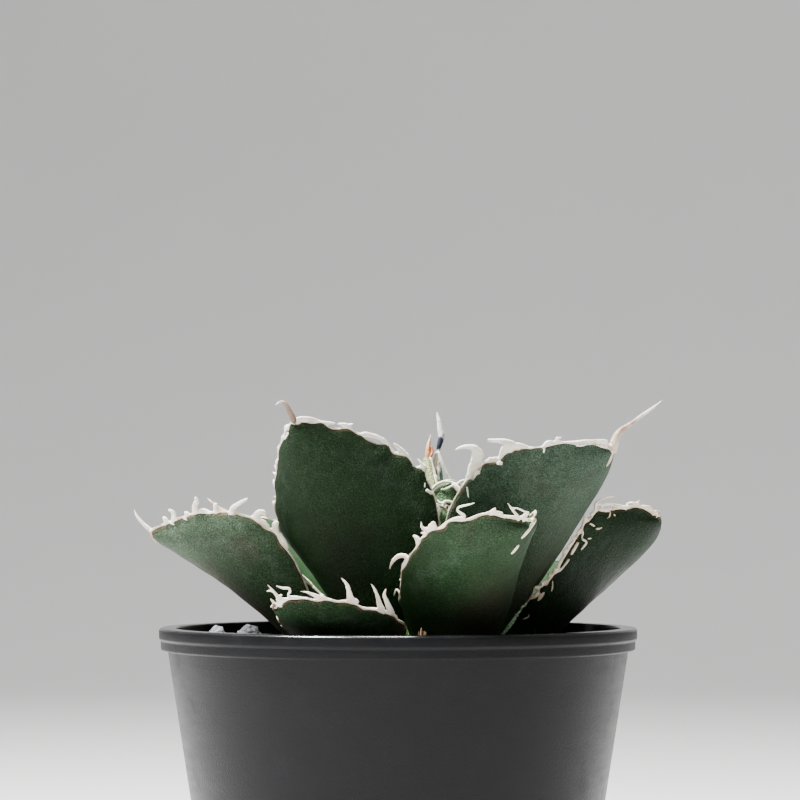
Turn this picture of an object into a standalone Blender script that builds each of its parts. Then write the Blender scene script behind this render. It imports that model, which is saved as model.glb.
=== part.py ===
"""Potted agave: a small rosette of thick, white-toothed leaves in a plain black pot.

Metres, +Z up. The origin is the middle of the pot's flat base. The rosette's
heights are counted from the rim plane. Angles are in degrees.
"""
import math
import random
from dataclasses import dataclass

import bmesh
import bpy
import numpy as np
from mathutils import noise

# Pot
POT_HEIGHT = 0.120
RIM_RADIUS = 0.075
LIP_HEIGHT = 0.007
BODY_TOP_RADIUS = 0.0722
BASE_RADIUS = 0.054
WALL = 0.0024
FLOOR = 0.003
EDGE_ROUND = 0.0012
DRAIN_RADIUS = 0.0045
DRAIN_RING = 0.034
DRAIN_COUNT = 6
TURN_STEPS = 48

# Soil, with its grains raised from the top
SOIL_DROP = 0.0080
GRAIN_SPACING = 0.0095
GRAIN_HEIGHT = 0.0024
TOP_RINGS = 6
STONES = (("stone_1", -0.0478, 0.018, 0.0043), ("stone_2", -0.0585, 0.022, 0.0030))

# Stem, whose broad crown carries the leaves
AXIS_X = 0.012
CROWN_TOP = -0.0030
CROWN_TOP_RADIUS = 0.011
CROWN_EDGE = -0.0115
CROWN_RADIUS = 0.046
STEM_DEPTH = 0.050
STEM_RADIUS = 0.012
ROOT_COUNT = 6
ROOT_REACH = 0.030
ROOT_FALL = 0.040
ROOT_RADIUS = 0.0030

# Leaf meshes
GAP = 0.0003
STATIONS = 11
COLUMNS = 9
BLADE_END = 0.994
EDGE_HALF_THICKNESS = 0.0009
INNER_SHARE = 0.25
BORDER_WIDTH = 0.0013
BORDER_START = 0.20
SPINE_RADIUS = 0.0019
SPINE_RINGS = 4
SPINE_SIDES = 6
HEEL_HALF_WIDTH = 0.0014
HEEL_HALF_HEIGHT = 0.0007
TOOTH_SIZES = (0.003, 0.006)
TOOTH_HALF_THICKNESS = 0.00075
ROOT_BREADTH = 0.7
ROOT_BREADTH_SHARE = 0.16
TOOTH_SPACING = 0.0118
BUD_SPACING = 0.0165
BUD_STATIONS = 8
BUD_COLUMNS = 7
SEED = 11


@dataclass(frozen=True)
class Leaf:
    """One leaf: lengths in metres, angles in degrees, pairs as (left, right) seen from outside.

    rise is the midrib's slope at the base and at the tip, gutter is the half angle
    of the section's arc at base, middle and tip. A tooth is (side, place, length in
    millimetres, lean, hook, lift, half breadth in millimetres), with its place counted
    from the base as a share of the length. The spine is (length, tilt, turn upward,
    turn to the left), and the heel is its ridge along the keel.
    """

    name: str
    azimuth: float
    seat: float
    length: float
    half_width: tuple
    rise: tuple
    gutter: tuple = (54, 42, 30)
    swing: float = 0
    roll: float = 0
    waist: float = 0.55
    widest: float = 0.52
    shoulder: tuple = (2.4, 2.4)
    point: float = 0.75
    thickness: float = 0.0065
    spine: tuple = (0.014, 0, 15, 0)
    heel: float = 0.006
    teeth: tuple = ()


LEAVES = (
    Leaf("leaf_01", 325.3, 0.0172, 0.0745, (0.0383, 0.0185), (53.8, 51.1), (45.1, 52.4, 29.7),
         swing=4.5, roll=-1.5, waist=0.207, widest=0.624, shoulder=(2.83, 2.07), point=0.715,
         thickness=0.0058, spine=(0.0199, 0, -15, -25), heel=0.005, teeth=(
             (-1, 0.7, 14.8, 70, -157, 0, 2.4), (-1, 0.79, 5.6, 50, 9, 2, 1.1),
             (-1, 0.83, 6.7, 39, 126, 3, 1), (-1, 0.85, 10.9, -29, -60, 8, 1.3),
             (-1, 0.9, 5, 64, 59, 3, 1), (-1, 0.94, 4.5, -67, 200, 1, 1))),
    Leaf("leaf_02", 96, 0.02, 0.078, (0.028, 0.028), (52, 24), (50, 40, 28), waist=0.4),
    Leaf("leaf_03", 222.4, 0.0278, 0.0796, (0.0193, 0.033), (70.3, 48.3), (56.5, 40.8, 33), swing=33.9,
         roll=20.5, waist=0.257, widest=0.522, shoulder=(1.02, 1.57), point=0.917, thickness=0.0066,
         spine=(0.0144, 41, -114, 35), heel=0.003, teeth=(
             (-1, 0.83, 2.2, -30, 0, 0, 1.7), (-1, 0.97, 2.6, -30, 0, 0, 1.4),
             (1, 0.44, 3.4, 66, 34, 5, 1), (1, 0.6, 4.9, 24, 81, -2, 1), (1, 0.6, 2.9, 48, 200, -1, 1),
             (1, 0.66, 7.2, 50, 53, -4, 1), (1, 0.67, 4.3, 64, 78, -3, 1),
             (1, 0.83, 9.9, -54, -70, -2, 1), (1, 0.86, 5.3, 34, 107, -2, 1),
             (1, 0.86, 3.8, 16, -102, 0, 1), (1, 0.98, 8.2, -67, -44, -4, 1))),
    Leaf("leaf_04", 2.1, 0.0266, 0.0592, (0.023, 0.0256), (43.2, 44), (59.9, 26.9, 34.5), swing=-28.8,
         roll=-14.4, waist=0.585, widest=0.585, shoulder=(3.53, 3.46), point=0.788, thickness=0.0063,
         spine=(0.006, 0, 20, -70), heel=0.003, teeth=(
             (-1, 0.82, 10.3, 8, 151, -7, 1), (-1, 0.94, 12.9, -77, -20, -13, 1),
             (-1, 0.97, 6.6, -37, -100, 0, 1), (-1, 0.97, 6.4, 54, 70, -5, 1))),
    Leaf("leaf_05", 145, 0.0265, 0.069, (0.0185, 0.0185), (46, 27), (50, 40, 28), waist=0.38),
    Leaf("leaf_06", 283.3, 0.0297, 0.0643, (0.0248, 0.0188), (42.4, 33.6), (45.8, 59.4, 47.9),
         swing=25.5, roll=14.2, waist=0.608, widest=0.559, shoulder=(3.71, 1.23), point=0.45,
         thickness=0.006, spine=(0.0045, -80, 60, 30), heel=0.007, teeth=(
             (-1, 0.53, 12, 60, -215, 0, 1.6), (-1, 0.66, 6, 92, -90, -2, 1),
             (-1, 0.79, 5.7, -37, 110, 1, 1), (-1, 0.8, 4.4, 44, 21, 1, 1.1),
             (-1, 0.88, 10.4, 49, 36, 4, 1), (-1, 0.97, 3.8, 22, -6, -1, 1),
             (-1, 0.98, 7.9, -48, -6, 7, 1), (-1, 0.98, 8, -19, -101, 4, 1))),
    Leaf("leaf_07", 60, 0.032, 0.068, (0.025, 0.025), (30, 16), (46, 36, 26), waist=0.38),
    Leaf("leaf_08", 186.4, 0.0359, 0.0662, (0.0217, 0.0307), (50.2, 21.3), (36.6, 55.3, 49.9),
         swing=7.2, roll=4.2, waist=0.218, widest=0.669, shoulder=(1.85, 1.66), point=0.902,
         thickness=0.0065, spine=(0.0092, 84, -62, -3), heel=0.003, teeth=(
             (1, 0.56, 4.8, 35, -36, 1, 1), (1, 0.64, 6.4, 49, -183, 0, 1),
             (1, 0.74, 7.8, -27, -51, 6, 1), (1, 0.8, 3.2, 5, -86, 1, 1), (1, 0.87, 6.9, -27, -6, 2, 1),
             (1, 0.9, 2.2, -34, 0, 1, 1), (1, 0.94, 5.5, -58, 108, 1, 1), (1, 0.96, 3, -55, 110, 1, 1))),
    Leaf("leaf_09", 121, 0.036, 0.06, (0.023, 0.023), (24, 8), (42, 36, 28), waist=0.38),
    Leaf("leaf_10", 235.3, 0.0382, 0.0449, (0.0162, 0.0227), (21.2, 23.4), (50, 25, 42.1), swing=-8.5,
         roll=3.9, waist=0.609, widest=0.451, shoulder=(1.02, 1.26), point=0.659, thickness=0.005,
         spine=(0.006, 30, 60, 0), heel=0.003, teeth=(
             (1, 0.49, 12.7, 38, 2, 4, 1), (1, 0.55, 13.4, 31, 25, 4, 1),
             (1, 0.72, 11.6, 13, 43, 2, 1.2), (1, 0.83, 8.8, 56, 33, 0, 1),
             (1, 0.92, 4.9, 49, 45, -1, 1), (1, 0.97, 9.4, -24, 108, 0, 1),
             (1, 0.97, 7, 95, -104, -29, 1), (1, 0.98, 9.6, 3, 11, 0, 1))),
)

BUD = (
    Leaf("bud_1", 20, 0.0012, 0.053, (0.0036, 0.0036), (90, 91), (40, 36, 30), waist=0.7, widest=0.4,
         shoulder=(1.6, 1.6), thickness=0.0024, spine=(0.018, 0, 4, 0), heel=0.004),
    Leaf("bud_2", 200, 0.0050, 0.056, (0.0084, 0.0084), (90, 94), (60, 50, 40), waist=0.8, widest=0.40,
         shoulder=(1.6, 1.6), thickness=0.0026, spine=(0.008, 0, -6, 0), heel=0.004),
    Leaf("bud_3", 288, 0.0095, 0.048, (0.0086, 0.0086), (88, 82), (56, 48, 36), waist=0.72, widest=0.6,
         shoulder=(3.0, 3.0), thickness=0.0028, spine=(0.005, 0, 30, 50), heel=0.003),
    Leaf("bud_4", 96, 0.0100, 0.048, (0.0140, 0.0140), (86, 76), (70, 50, 36), waist=0.68, widest=0.5,
         thickness=0.0034, spine=(0.008, 0, 12, 0)),
    Leaf("bud_5", 267, 0.0145, 0.042, (0.0095, 0.0095), (86, 72), (50, 44, 36), waist=0.62, widest=0.55,
         shoulder=(2.6, 2.6), thickness=0.0026, spine=(0.006, 0, 30, 30), heel=0.003),
)


def smooth(t):
    """Eases from 0 to 1."""
    t = np.clip(t, 0.0, 1.0)
    return t * t * (3 - 2 * t)


def crown_height(radius):
    """Height of the crown's shoulder above the pot's base."""
    slope = (CROWN_EDGE - CROWN_TOP) / (CROWN_RADIUS - CROWN_TOP_RADIUS)
    return POT_HEIGHT + CROWN_TOP + slope * (np.maximum(radius, CROWN_TOP_RADIUS) - CROWN_TOP_RADIUS)


def midrib(leaf, s):
    """Points, directions, side vectors and upper normals of the midrib at the places s."""
    fine = np.linspace(0, 1, 161)
    rise = np.radians(leaf.rise[0] + (leaf.rise[1] - leaf.rise[0]) * fine)
    heading = np.radians(leaf.azimuth + leaf.swing * fine**2)
    along = np.stack([np.cos(rise) * np.cos(heading), np.cos(rise) * np.sin(heading), np.sin(rise)], 1)
    steps = (along[1:] + along[:-1]) / 2 * leaf.length / (len(fine) - 1)
    path = np.vstack([np.zeros(3), np.cumsum(steps, 0)])
    azimuth = math.radians(leaf.azimuth)
    start = np.array([AXIS_X + leaf.seat * math.cos(azimuth), leaf.seat * math.sin(azimuth), 0])
    start[2] = crown_height(leaf.seat) + GAP
    points = np.stack([np.interp(s, fine, start[k] + path[:, k]) for k in range(3)], 1)
    along = np.stack([np.interp(s, fine, along[:, k]) for k in range(3)], 1)
    along /= np.linalg.norm(along, axis=1)[:, None]
    heading = np.radians(leaf.azimuth + leaf.swing * s**2)
    side = np.stack([-np.sin(heading), np.cos(heading), np.zeros_like(heading)], 1)
    upper = np.cross(along, side)
    roll = np.radians(leaf.roll * smooth(s / 0.6))[:, None]
    return points, along, side * np.cos(roll) + upper * np.sin(roll), upper * np.cos(roll) - side * np.sin(roll)


def half_widths(leaf, s):
    """Half widths of the left and the right side at the places s."""
    grow = leaf.waist + (1 - leaf.waist) * np.sin(np.pi / 2 * np.clip(s / leaf.widest, 0, 1))
    over = np.clip((s - leaf.widest) / (1 - leaf.widest), 0, 1)
    ends = [(1 - over**shoulder) ** leaf.point for shoulder in leaf.shoulder]
    return [width * grow * end for width, end in zip(leaf.half_width, ends)]


def gutter_angle(leaf, s):
    """Half angle of the section's arc in radians."""
    base, middle, tip = np.radians(leaf.gutter)
    lower = base + (middle - base) * smooth(s / 0.5)
    upper = middle + (tip - middle) * smooth((s - 0.5) / 0.5)
    return np.where(s < 0.5, lower, upper)


def blade_points(leaf, s, u, layer):
    """Points and upper normals at places s along and u across, from -1 at the left to 1 at the right.

    layer is 1 for the upper face, -1 for the lower face and 0 for the sheet between.
    """
    points, along, side, upper = midrib(leaf, s)
    left, right = half_widths(leaf, s)
    across = np.where(u[None, :] < 0, left[:, None], right[:, None])
    angle = gutter_angle(leaf, s)[:, None]
    bend = angle * u[None, :]
    radius = across / angle
    sideways = radius * np.sin(bend)
    raised = radius * (1 - np.cos(bend))
    normal = upper[:, None, :] * np.cos(bend)[..., None] - side[:, None, :] * np.sin(bend)[..., None]
    sheet = points[:, None, :] + side[:, None, :] * sideways[..., None] + upper[:, None, :] * raised[..., None]
    fullness = np.sqrt(np.minimum(left, right) / min(leaf.half_width))
    full = (leaf.thickness * (1 - 0.5 * smooth(s)) * fullness)[:, None]
    if layer > 0:
        lift = EDGE_HALF_THICKNESS + INNER_SHARE * full * (1 - np.abs(u) ** 2)
    elif layer < 0:
        lift = -EDGE_HALF_THICKNESS - (1 - INNER_SHARE) * full * (1 - np.abs(u) ** 1.8)
    else:
        lift = np.zeros_like(across)
    return sheet + normal * lift[..., None], normal


def blade_places(stations):
    """Places of the blade's sections, closer near the tip."""
    return (1 - (1 - np.linspace(0, 1, stations)) ** 1.35) * BLADE_END


def blade_rings(leaf, stations, columns):
    """Closed sections of the blade from its seat on the crown to just short of the tip."""
    s = blade_places(stations)
    u = np.linspace(-1, 1, columns)
    top = blade_points(leaf, s, u, 1)[0]
    low = blade_points(leaf, s, u, -1)[0]
    rings = np.concatenate([top, low[:, ::-1]], 1)
    along = midrib(leaf, s[:1])[1][0]
    foot = rings[0]
    reach = np.hypot(foot[:, 0] - AXIS_X, foot[:, 1])
    slope = (CROWN_TOP - CROWN_EDGE) / (CROWN_RADIUS - CROWN_TOP_RADIUS)
    drop = foot[:, 2] - crown_height(reach) - GAP
    closing = along[2] + slope * math.hypot(along[0], along[1])
    rings[0] = foot - along * (drop / closing)[:, None]
    return rings


def outline(leaf, stations):
    """The margin at the blade's own places, from the left base round the tip to the right base.

    Returns the places of one side, then points on the blade's edge, directions pointing away from
    the blade and upper normals.
    """
    s = blade_places(stations)
    s = np.append(s[s >= BORDER_START], 1.0)
    edge, normal = blade_points(leaf, s, np.array([-1.0, 1.0]), 0)
    points = np.vstack([edge[:, 0], edge[-2::-1, 1]])
    normals = np.vstack([normal[:, 0], normal[-2::-1, 1]])
    tangents = np.gradient(points, axis=0)
    tangents /= np.linalg.norm(tangents, axis=1)[:, None]
    outward = np.cross(tangents, normals)
    outward /= np.linalg.norm(outward, axis=1)[:, None]
    normals = np.cross(outward, tangents)
    return s, points, outward, normals


def loft(name, rings, first_tip=None, last_tip=None):
    """A closed mesh through rings of equal point counts, its ends drawn to tips or closed across the ring."""
    mesh = bmesh.new()
    loops = [[mesh.verts.new(point) for point in ring] for ring in rings]
    count = len(loops[0])
    for near, far in zip(loops, loops[1:]):
        for i in range(count):
            j = (i + 1) % count
            mesh.faces.new((near[i], near[j], far[j], far[i]))
    for loop, tip in ((loops[0][::-1], first_tip), (loops[-1], last_tip)):
        if tip is None:
            for i in range(count // 2 - 1):
                mesh.faces.new((loop[i], loop[i + 1], loop[count - 2 - i], loop[count - 1 - i]))
            continue
        peak = mesh.verts.new(tip)
        for i in range(count):
            mesh.faces.new((loop[i], loop[(i + 1) % count], peak))
    if mesh.calc_volume(signed=True) < 0:
        bmesh.ops.reverse_faces(mesh, faces=mesh.faces)
    data = bpy.data.meshes.new(name)
    mesh.to_mesh(data)
    mesh.free()
    return bpy.data.objects.new(name, data)


def fuse(name, pieces):
    """One object from overlapping closed pieces, which are removed."""
    body, others = pieces[0], pieces[1:]
    joined = bpy.data.collections.new(name + "_repeats")
    for piece in others:
        joined.objects.link(piece)
    bpy.context.scene.collection.objects.link(body)
    union = body.modifiers.new("join", "BOOLEAN")
    union.operation = "UNION"
    union.operand_type = "COLLECTION"
    union.collection = joined
    graph = bpy.context.evaluated_depsgraph_get()
    whole = bpy.data.objects.new(name, bpy.data.meshes.new_from_object(body.evaluated_get(graph)))
    whole.location = body.location
    for piece in pieces:
        bpy.data.objects.remove(piece)
    bpy.data.collections.remove(joined)
    return whole


def ellipse(center, first, second, sides):
    """Points of an ellipse given by its two half axes."""
    turn = np.linspace(0, 2 * np.pi, sides, endpoint=False)[:, None]
    return center + first * np.cos(turn) + second * np.sin(turn)


def tooth(root, outward, forward, normal, length, lean, hook, lift, breadth):
    """A flat curved tooth, its root across the border and its tip hooked by so many degrees."""
    count = 2 + int(length > TOOTH_SIZES[0]) + 2 * int(length > TOOTH_SIZES[1])
    lift = math.radians(lift)
    out = outward * math.cos(lift) + normal * math.sin(lift)
    thin = np.cross(out, forward)
    rings = []
    center = root
    step = length / count
    for k in range(count):
        place = k / count
        angle = math.radians(lean + hook * place)
        facing = angle * min(1.0, place / 0.3)
        broad = forward * math.cos(facing) - out * math.sin(facing)
        taper = (1 - place) ** (0.8 + 0.3 * (breadth > 0.0015))
        rings.append(ellipse(center, broad * breadth * taper, thin * TOOTH_HALF_THICKNESS * (1 - 0.5 * place), 4))
        center = center + (out * math.cos(angle) + forward * math.sin(angle)) * step
    return loft("tooth", rings, last_tip=center)


def spine(leaf, root, direction, normal):
    """The leaf's end spine, tilted at its root and turned along its length."""
    length, tilt, rise, sideways = leaf.spine
    side = np.cross(direction, normal)
    rings = []
    center = root
    for k in range(SPINE_RINGS + 1):
        place = k / SPINE_RINGS
        up = math.radians(tilt * min(1, 2 * place) + rise * place)
        aside = math.radians(sideways * place)
        heading = direction * math.cos(up) + normal * math.sin(up)
        heading = heading * math.cos(aside) + side * math.sin(aside)
        if k == SPINE_RINGS:
            break
        across = np.cross(heading, normal)
        across /= np.linalg.norm(across)
        radius = SPINE_RADIUS * (1 - place) ** 0.9
        rings.append(ellipse(center, across * radius, np.cross(across, heading) * radius, SPINE_SIDES))
        center = center + heading * length / SPINE_RINGS
    return loft("spine", rings, last_tip=center)


def heel(leaf, root):
    """The ridge that runs from the spine down the keel, clear of the blade."""
    start = 1 - leaf.heel / leaf.length
    s = np.array([start, (start + BLADE_END) / 2, BLADE_END, 1.0])
    keel, normal = blade_points(leaf, s, np.array([0.0]), -1)
    along = midrib(leaf, s)[1]
    rings = []
    for k in range(len(s)):
        share = k / (len(s) - 1)
        side = np.cross(normal[k, 0], along[k])
        tall = HEEL_HALF_HEIGHT * (0.6 + 0.4 * share)
        center = keel[k, 0] - normal[k, 0] * (GAP + tall)
        if s[k] == 1.0:
            center = root
        rings.append(ellipse(center, side * HEEL_HALF_WIDTH * (0.5 + 0.5 * share), normal[k, 0] * tall, 6))
    end = keel[0, 0] - along[0] * 0.001 - normal[0, 0] * (GAP + HEEL_HALF_HEIGHT * 0.5)
    return loft("heel", rings, first_tip=end)


def all_teeth(leaf, rng):
    """The leaf's own teeth, and teeth by rule on a side that has none: irregular, largest at mid length."""
    teeth = list(leaf.teeth)
    spacing = (TOOTH_SPACING if leaf in LEAVES else BUD_SPACING) / leaf.length
    for side in sorted({-1, 1} - {own[0] for own in leaf.teeth}):
        place = rng.uniform(0.30, 0.36)
        while place < 0.95:
            size = 0.8 + 190 * leaf.half_width[0] * math.sin(math.pi * place) ** 2
            length = size * rng.uniform(0.55, 1.15)
            turns = (rng.uniform(-30, 35), rng.uniform(-70, 70), rng.uniform(-15, 35))
            teeth.append((side, place, length, *turns, ROOT_BREADTH + ROOT_BREADTH_SHARE * length))
            place += spacing * rng.uniform(0.75, 1.25)
    return teeth


def border(leaf, rng):
    """The horny edge of a leaf in one piece with its teeth and end spine."""
    places, points, outward, normals = outline(leaf, STATIONS if leaf in LEAVES else BUD_STATIONS)
    centers = points + outward * (GAP + BORDER_WIDTH / 2)
    half = outward * BORDER_WIDTH / 2
    rise = normals * EDGE_HALF_THICKNESS
    rings = [np.array([c - h - r, c + h - r, c + h + r, c - h + r]) for c, h, r in zip(centers, half, rise)]
    pieces = [loft("edge", rings)]
    tip = len(places) - 1
    middle = points[tip] + outward[tip] * (GAP + 0.0003)
    pieces.append(spine(leaf, middle, outward[tip], normals[tip]))
    pieces.append(heel(leaf, middle))
    sides = {-1: slice(0, tip + 1), 1: slice(None, tip - 1, -1)}
    for side, place, length, lean, hook, lift, breadth in all_teeth(leaf, rng):
        here = np.hstack([centers, outward, normals])[sides[side]]
        root, out, upward = np.split(np.array([np.interp(place, places, here[:, k]) for k in range(9)]), 3)
        out /= np.linalg.norm(out)
        forward = np.cross(out, upward) * side
        forward /= np.linalg.norm(forward)
        upward = np.cross(forward, out) * side
        pieces.append(tooth(root, out, forward, upward, length / 1000, lean, hook, lift, breadth / 1000))
    return fuse(leaf.name + "_border", pieces)


def ring(center_x, radius, height):
    """A level circle of points, in line with the pot's turned steps."""
    turn = np.linspace(0, 2 * np.pi, TURN_STEPS, endpoint=False)
    return np.stack([center_x + radius * np.cos(turn), radius * np.sin(turn), np.full(TURN_STEPS, height)], 1)


def turned(name, profile, center_x=0.0):
    """A turned solid from (radius, height) points that run from the axis, outward and down, to the axis."""
    data = bpy.data.meshes.new(name)
    points = [(radius, 0, height) for radius, height in profile]
    data.from_pydata(points, [(i, i + 1) for i in range(len(points) - 1)], [])
    solid = bpy.data.objects.new(name, data)
    solid.location.x = center_x
    screw = solid.modifiers.new("turn", "SCREW")
    screw.steps = screw.render_steps = TURN_STEPS
    screw.use_merge_vertices = True
    screw.merge_threshold = 0.00002
    screw.use_smooth_shade = True
    return solid


def pot_inner_radius(height):
    """Radius of the pot's inner wall at a height."""
    outer = BASE_RADIUS + (BODY_TOP_RADIUS - BASE_RADIUS) * height / (POT_HEIGHT - LIP_HEIGHT)
    return min(outer, BODY_TOP_RADIUS) - WALL


def pot(cutters):
    """The pot with its rolled lip, flat base and drain holes."""
    inner_top = BODY_TOP_RADIUS - WALL
    body = turned("pot", [
        (0, FLOOR),
        (pot_inner_radius(FLOOR), FLOOR),
        (inner_top, POT_HEIGHT - LIP_HEIGHT),
        (inner_top, POT_HEIGHT - EDGE_ROUND / 2),
        (inner_top + EDGE_ROUND / 2, POT_HEIGHT),
        (RIM_RADIUS - EDGE_ROUND, POT_HEIGHT),
        (RIM_RADIUS, POT_HEIGHT - EDGE_ROUND),
        (RIM_RADIUS - EDGE_ROUND * 0.5, POT_HEIGHT - LIP_HEIGHT),
        (BODY_TOP_RADIUS, POT_HEIGHT - LIP_HEIGHT),
        (BASE_RADIUS + EDGE_ROUND * 0.4, EDGE_ROUND * 1.5),
        (BASE_RADIUS - EDGE_ROUND, 0),
        (0, 0),
    ])
    for k in range(DRAIN_COUNT):
        turn = 2 * math.pi * (k + 0.5) / DRAIN_COUNT
        bpy.ops.mesh.primitive_cylinder_add(vertices=12, radius=DRAIN_RADIUS, depth=FLOOR * 4, location=(
            DRAIN_RING * math.cos(turn), DRAIN_RING * math.sin(turn), FLOOR / 2))
        hole = bpy.context.object
        hole.name = f"drain_hole_{k + 1}"
        place_cutter(hole, cutters)
    drain = body.modifiers.new("drain", "BOOLEAN")
    drain.operation = "DIFFERENCE"
    drain.operand_type = "COLLECTION"
    drain.collection = cutters["drain_cutters"]
    return body


def place_cutter(cutter, cutters, group="drain_cutters"):
    """Moves a cutter to its hidden collection."""
    for collection in list(cutter.users_collection):
        collection.objects.unlink(cutter)
    cutters[group].objects.link(cutter)
    cutter.hide_render = True
    cutter.display_type = "WIRE"


STEM_PROFILE = (
    (CROWN_TOP_RADIUS, CROWN_TOP),
    (CROWN_RADIUS, CROWN_EDGE),
    (CROWN_RADIUS - 0.001, CROWN_EDGE - 0.003),
    (CROWN_RADIUS - 0.012, CROWN_EDGE - 0.012),
    (STEM_RADIUS + 0.004, CROWN_EDGE - 0.022),
    (STEM_RADIUS, -STEM_DEPTH + 0.003),
    (STEM_RADIUS - 0.003, -STEM_DEPTH),
)


def root_pieces(extra, rng):
    """Main roots that leave the stem's foot, widened by extra for their channels in the soil."""
    pieces = []
    for k in range(ROOT_COUNT):
        turn = 2 * math.pi * (k + rng.uniform(-0.2, 0.2)) / ROOT_COUNT
        heading = np.array([math.cos(turn), math.sin(turn), 0.0])
        across = np.array([-heading[1], heading[0], 0.0])
        reach = ROOT_REACH * rng.uniform(0.75, 1.0)
        sway = rng.uniform(-0.006, 0.006)
        start = np.array([AXIS_X, 0, POT_HEIGHT - STEM_DEPTH + 0.006])
        rings = []
        for place in np.linspace(0, 1, 5):
            along = heading * (0.004 + reach * place) + across * sway * math.sin(place * math.pi)
            center = start + along - np.array([0, 0, ROOT_FALL * place**1.4])
            radius = ROOT_RADIUS * (1 - 0.75 * place) + extra
            tilt = np.array([0, 0, 1.0]) * 0.8 + heading * 0.6
            rings.append(ellipse(center, across * radius, tilt * radius, 6))
        end = rings[-1].mean(0) + (heading * 0.5 - np.array([0, 0, 0.9])) * (0.0015 + extra)
        pieces.append(loft(f"root_{k + 1}", rings, last_tip=end))
    return pieces


def stem():
    """The stem with its crown and main roots."""
    profile = [(0, POT_HEIGHT + CROWN_TOP)]
    profile += [(radius, POT_HEIGHT + height) for radius, height in STEM_PROFILE]
    profile.append((0, POT_HEIGHT - STEM_DEPTH))
    return fuse("stem", [turned("crown", profile, AXIS_X)] + root_pieces(0, random.Random(SEED)))


def soil_height(x, y):
    """Height of the soil's top: lower near the crown, with rounded grains, and level under the stones."""
    inner = math.hypot(x - AXIS_X, y) - CROWN_RADIUS
    outer = pot_inner_radius(POT_HEIGHT - SOIL_DROP) - math.hypot(x, y)
    level = -SOIL_DROP + (CROWN_EDGE + SOIL_DROP) * max(0, outer) / max(1e-6, max(0, inner) + max(0, outer))
    nearest = noise.voronoi((x / GRAIN_SPACING, y / GRAIN_SPACING, 0.37))[0][0]
    grain = GRAIN_HEIGHT * (0.5 - nearest)
    for _, stone_x, stone_y, radius in STONES:
        grain *= float(smooth(math.hypot(x - stone_x, y - stone_y) / radius - 1.2))
    return POT_HEIGHT + level + grain


def soil(cutters):
    """The potting mix: it fills the pot, with a hole for the stem and channels for the roots."""
    clear = 2 * GAP
    hole = [ring(AXIS_X, radius + clear, POT_HEIGHT + height) for radius, height in STEM_PROFILE[:0:-1]]
    hole[0] = ring(AXIS_X, STEM_RADIUS, POT_HEIGHT - STEM_DEPTH - clear)
    wall_top = pot_inner_radius(POT_HEIGHT - SOIL_DROP) - GAP
    inner = ring(AXIS_X, CROWN_RADIUS + clear, 0)
    outer = ring(0, wall_top, 0)
    top = []
    for share in np.linspace(0, 1, TOP_RINGS):
        level = inner + (outer - inner) * share
        level[:, 2] = [soil_height(x, y) for x, y, _ in level]
        top.append(level)
    wall = [ring(0, pot_inner_radius(FLOOR) - GAP, FLOOR + GAP)]
    shoulder = ring(0, wall_top, POT_HEIGHT - LIP_HEIGHT - 0.006)
    shoulder[:, :2] *= (pot_inner_radius(POT_HEIGHT - LIP_HEIGHT - 0.006) - GAP) / wall_top
    rings = hole[:-1] + top + [shoulder] + wall
    body = loft("soil", rings, first_tip=(AXIS_X, 0, POT_HEIGHT - STEM_DEPTH - clear), last_tip=(0, 0, FLOOR + GAP))
    for piece in root_pieces(GAP * 2, random.Random(SEED)):
        piece.name = piece.name.replace("root", "root_channel")
        place_cutter(piece, cutters, "root_cutters")
    channels = body.modifiers.new("channels", "BOOLEAN")
    channels.operation = "DIFFERENCE"
    channels.operand_type = "COLLECTION"
    channels.collection = cutters["root_cutters"]
    return body


def stone(name, x, y, radius):
    """A pitted pebble that lies on the soil."""
    mesh = bmesh.new()
    bmesh.ops.create_icosphere(mesh, subdivisions=2, radius=radius)
    for vertex in mesh.verts:
        vertex.co *= 1 + 0.16 * noise.noise(vertex.co / radius * 1.3 + vertex.co.normalized())
        vertex.co.z *= 0.8
    lowest = min(vertex.co.z for vertex in mesh.verts)
    data = bpy.data.meshes.new(name)
    mesh.to_mesh(data)
    mesh.free()
    pebble = bpy.data.objects.new(name, data)
    pebble.location = (x, y, soil_height(x, y) + GAP - lowest)
    return pebble


def material(name, color, roughness, metallic=0.0):
    """A plain finish."""
    finish = bpy.data.materials.new(name)
    finish.use_nodes = True
    shader = finish.node_tree.nodes["Principled BSDF"]
    shader.inputs["Base Color"].default_value = (*color, 1)
    shader.inputs["Roughness"].default_value = roughness
    shader.inputs["Metallic"].default_value = metallic
    return finish


def dress(piece, home, finish, sharp=35):
    """Puts a piece in the plant's collection with its own material, shaded smooth between sharp edges."""
    home.objects.link(piece)
    piece.data.materials.clear()
    piece.data.materials.append(finish)
    piece.data.shade_smooth()
    piece.data.set_sharp_from_angle(angle=math.radians(sharp))


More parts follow.
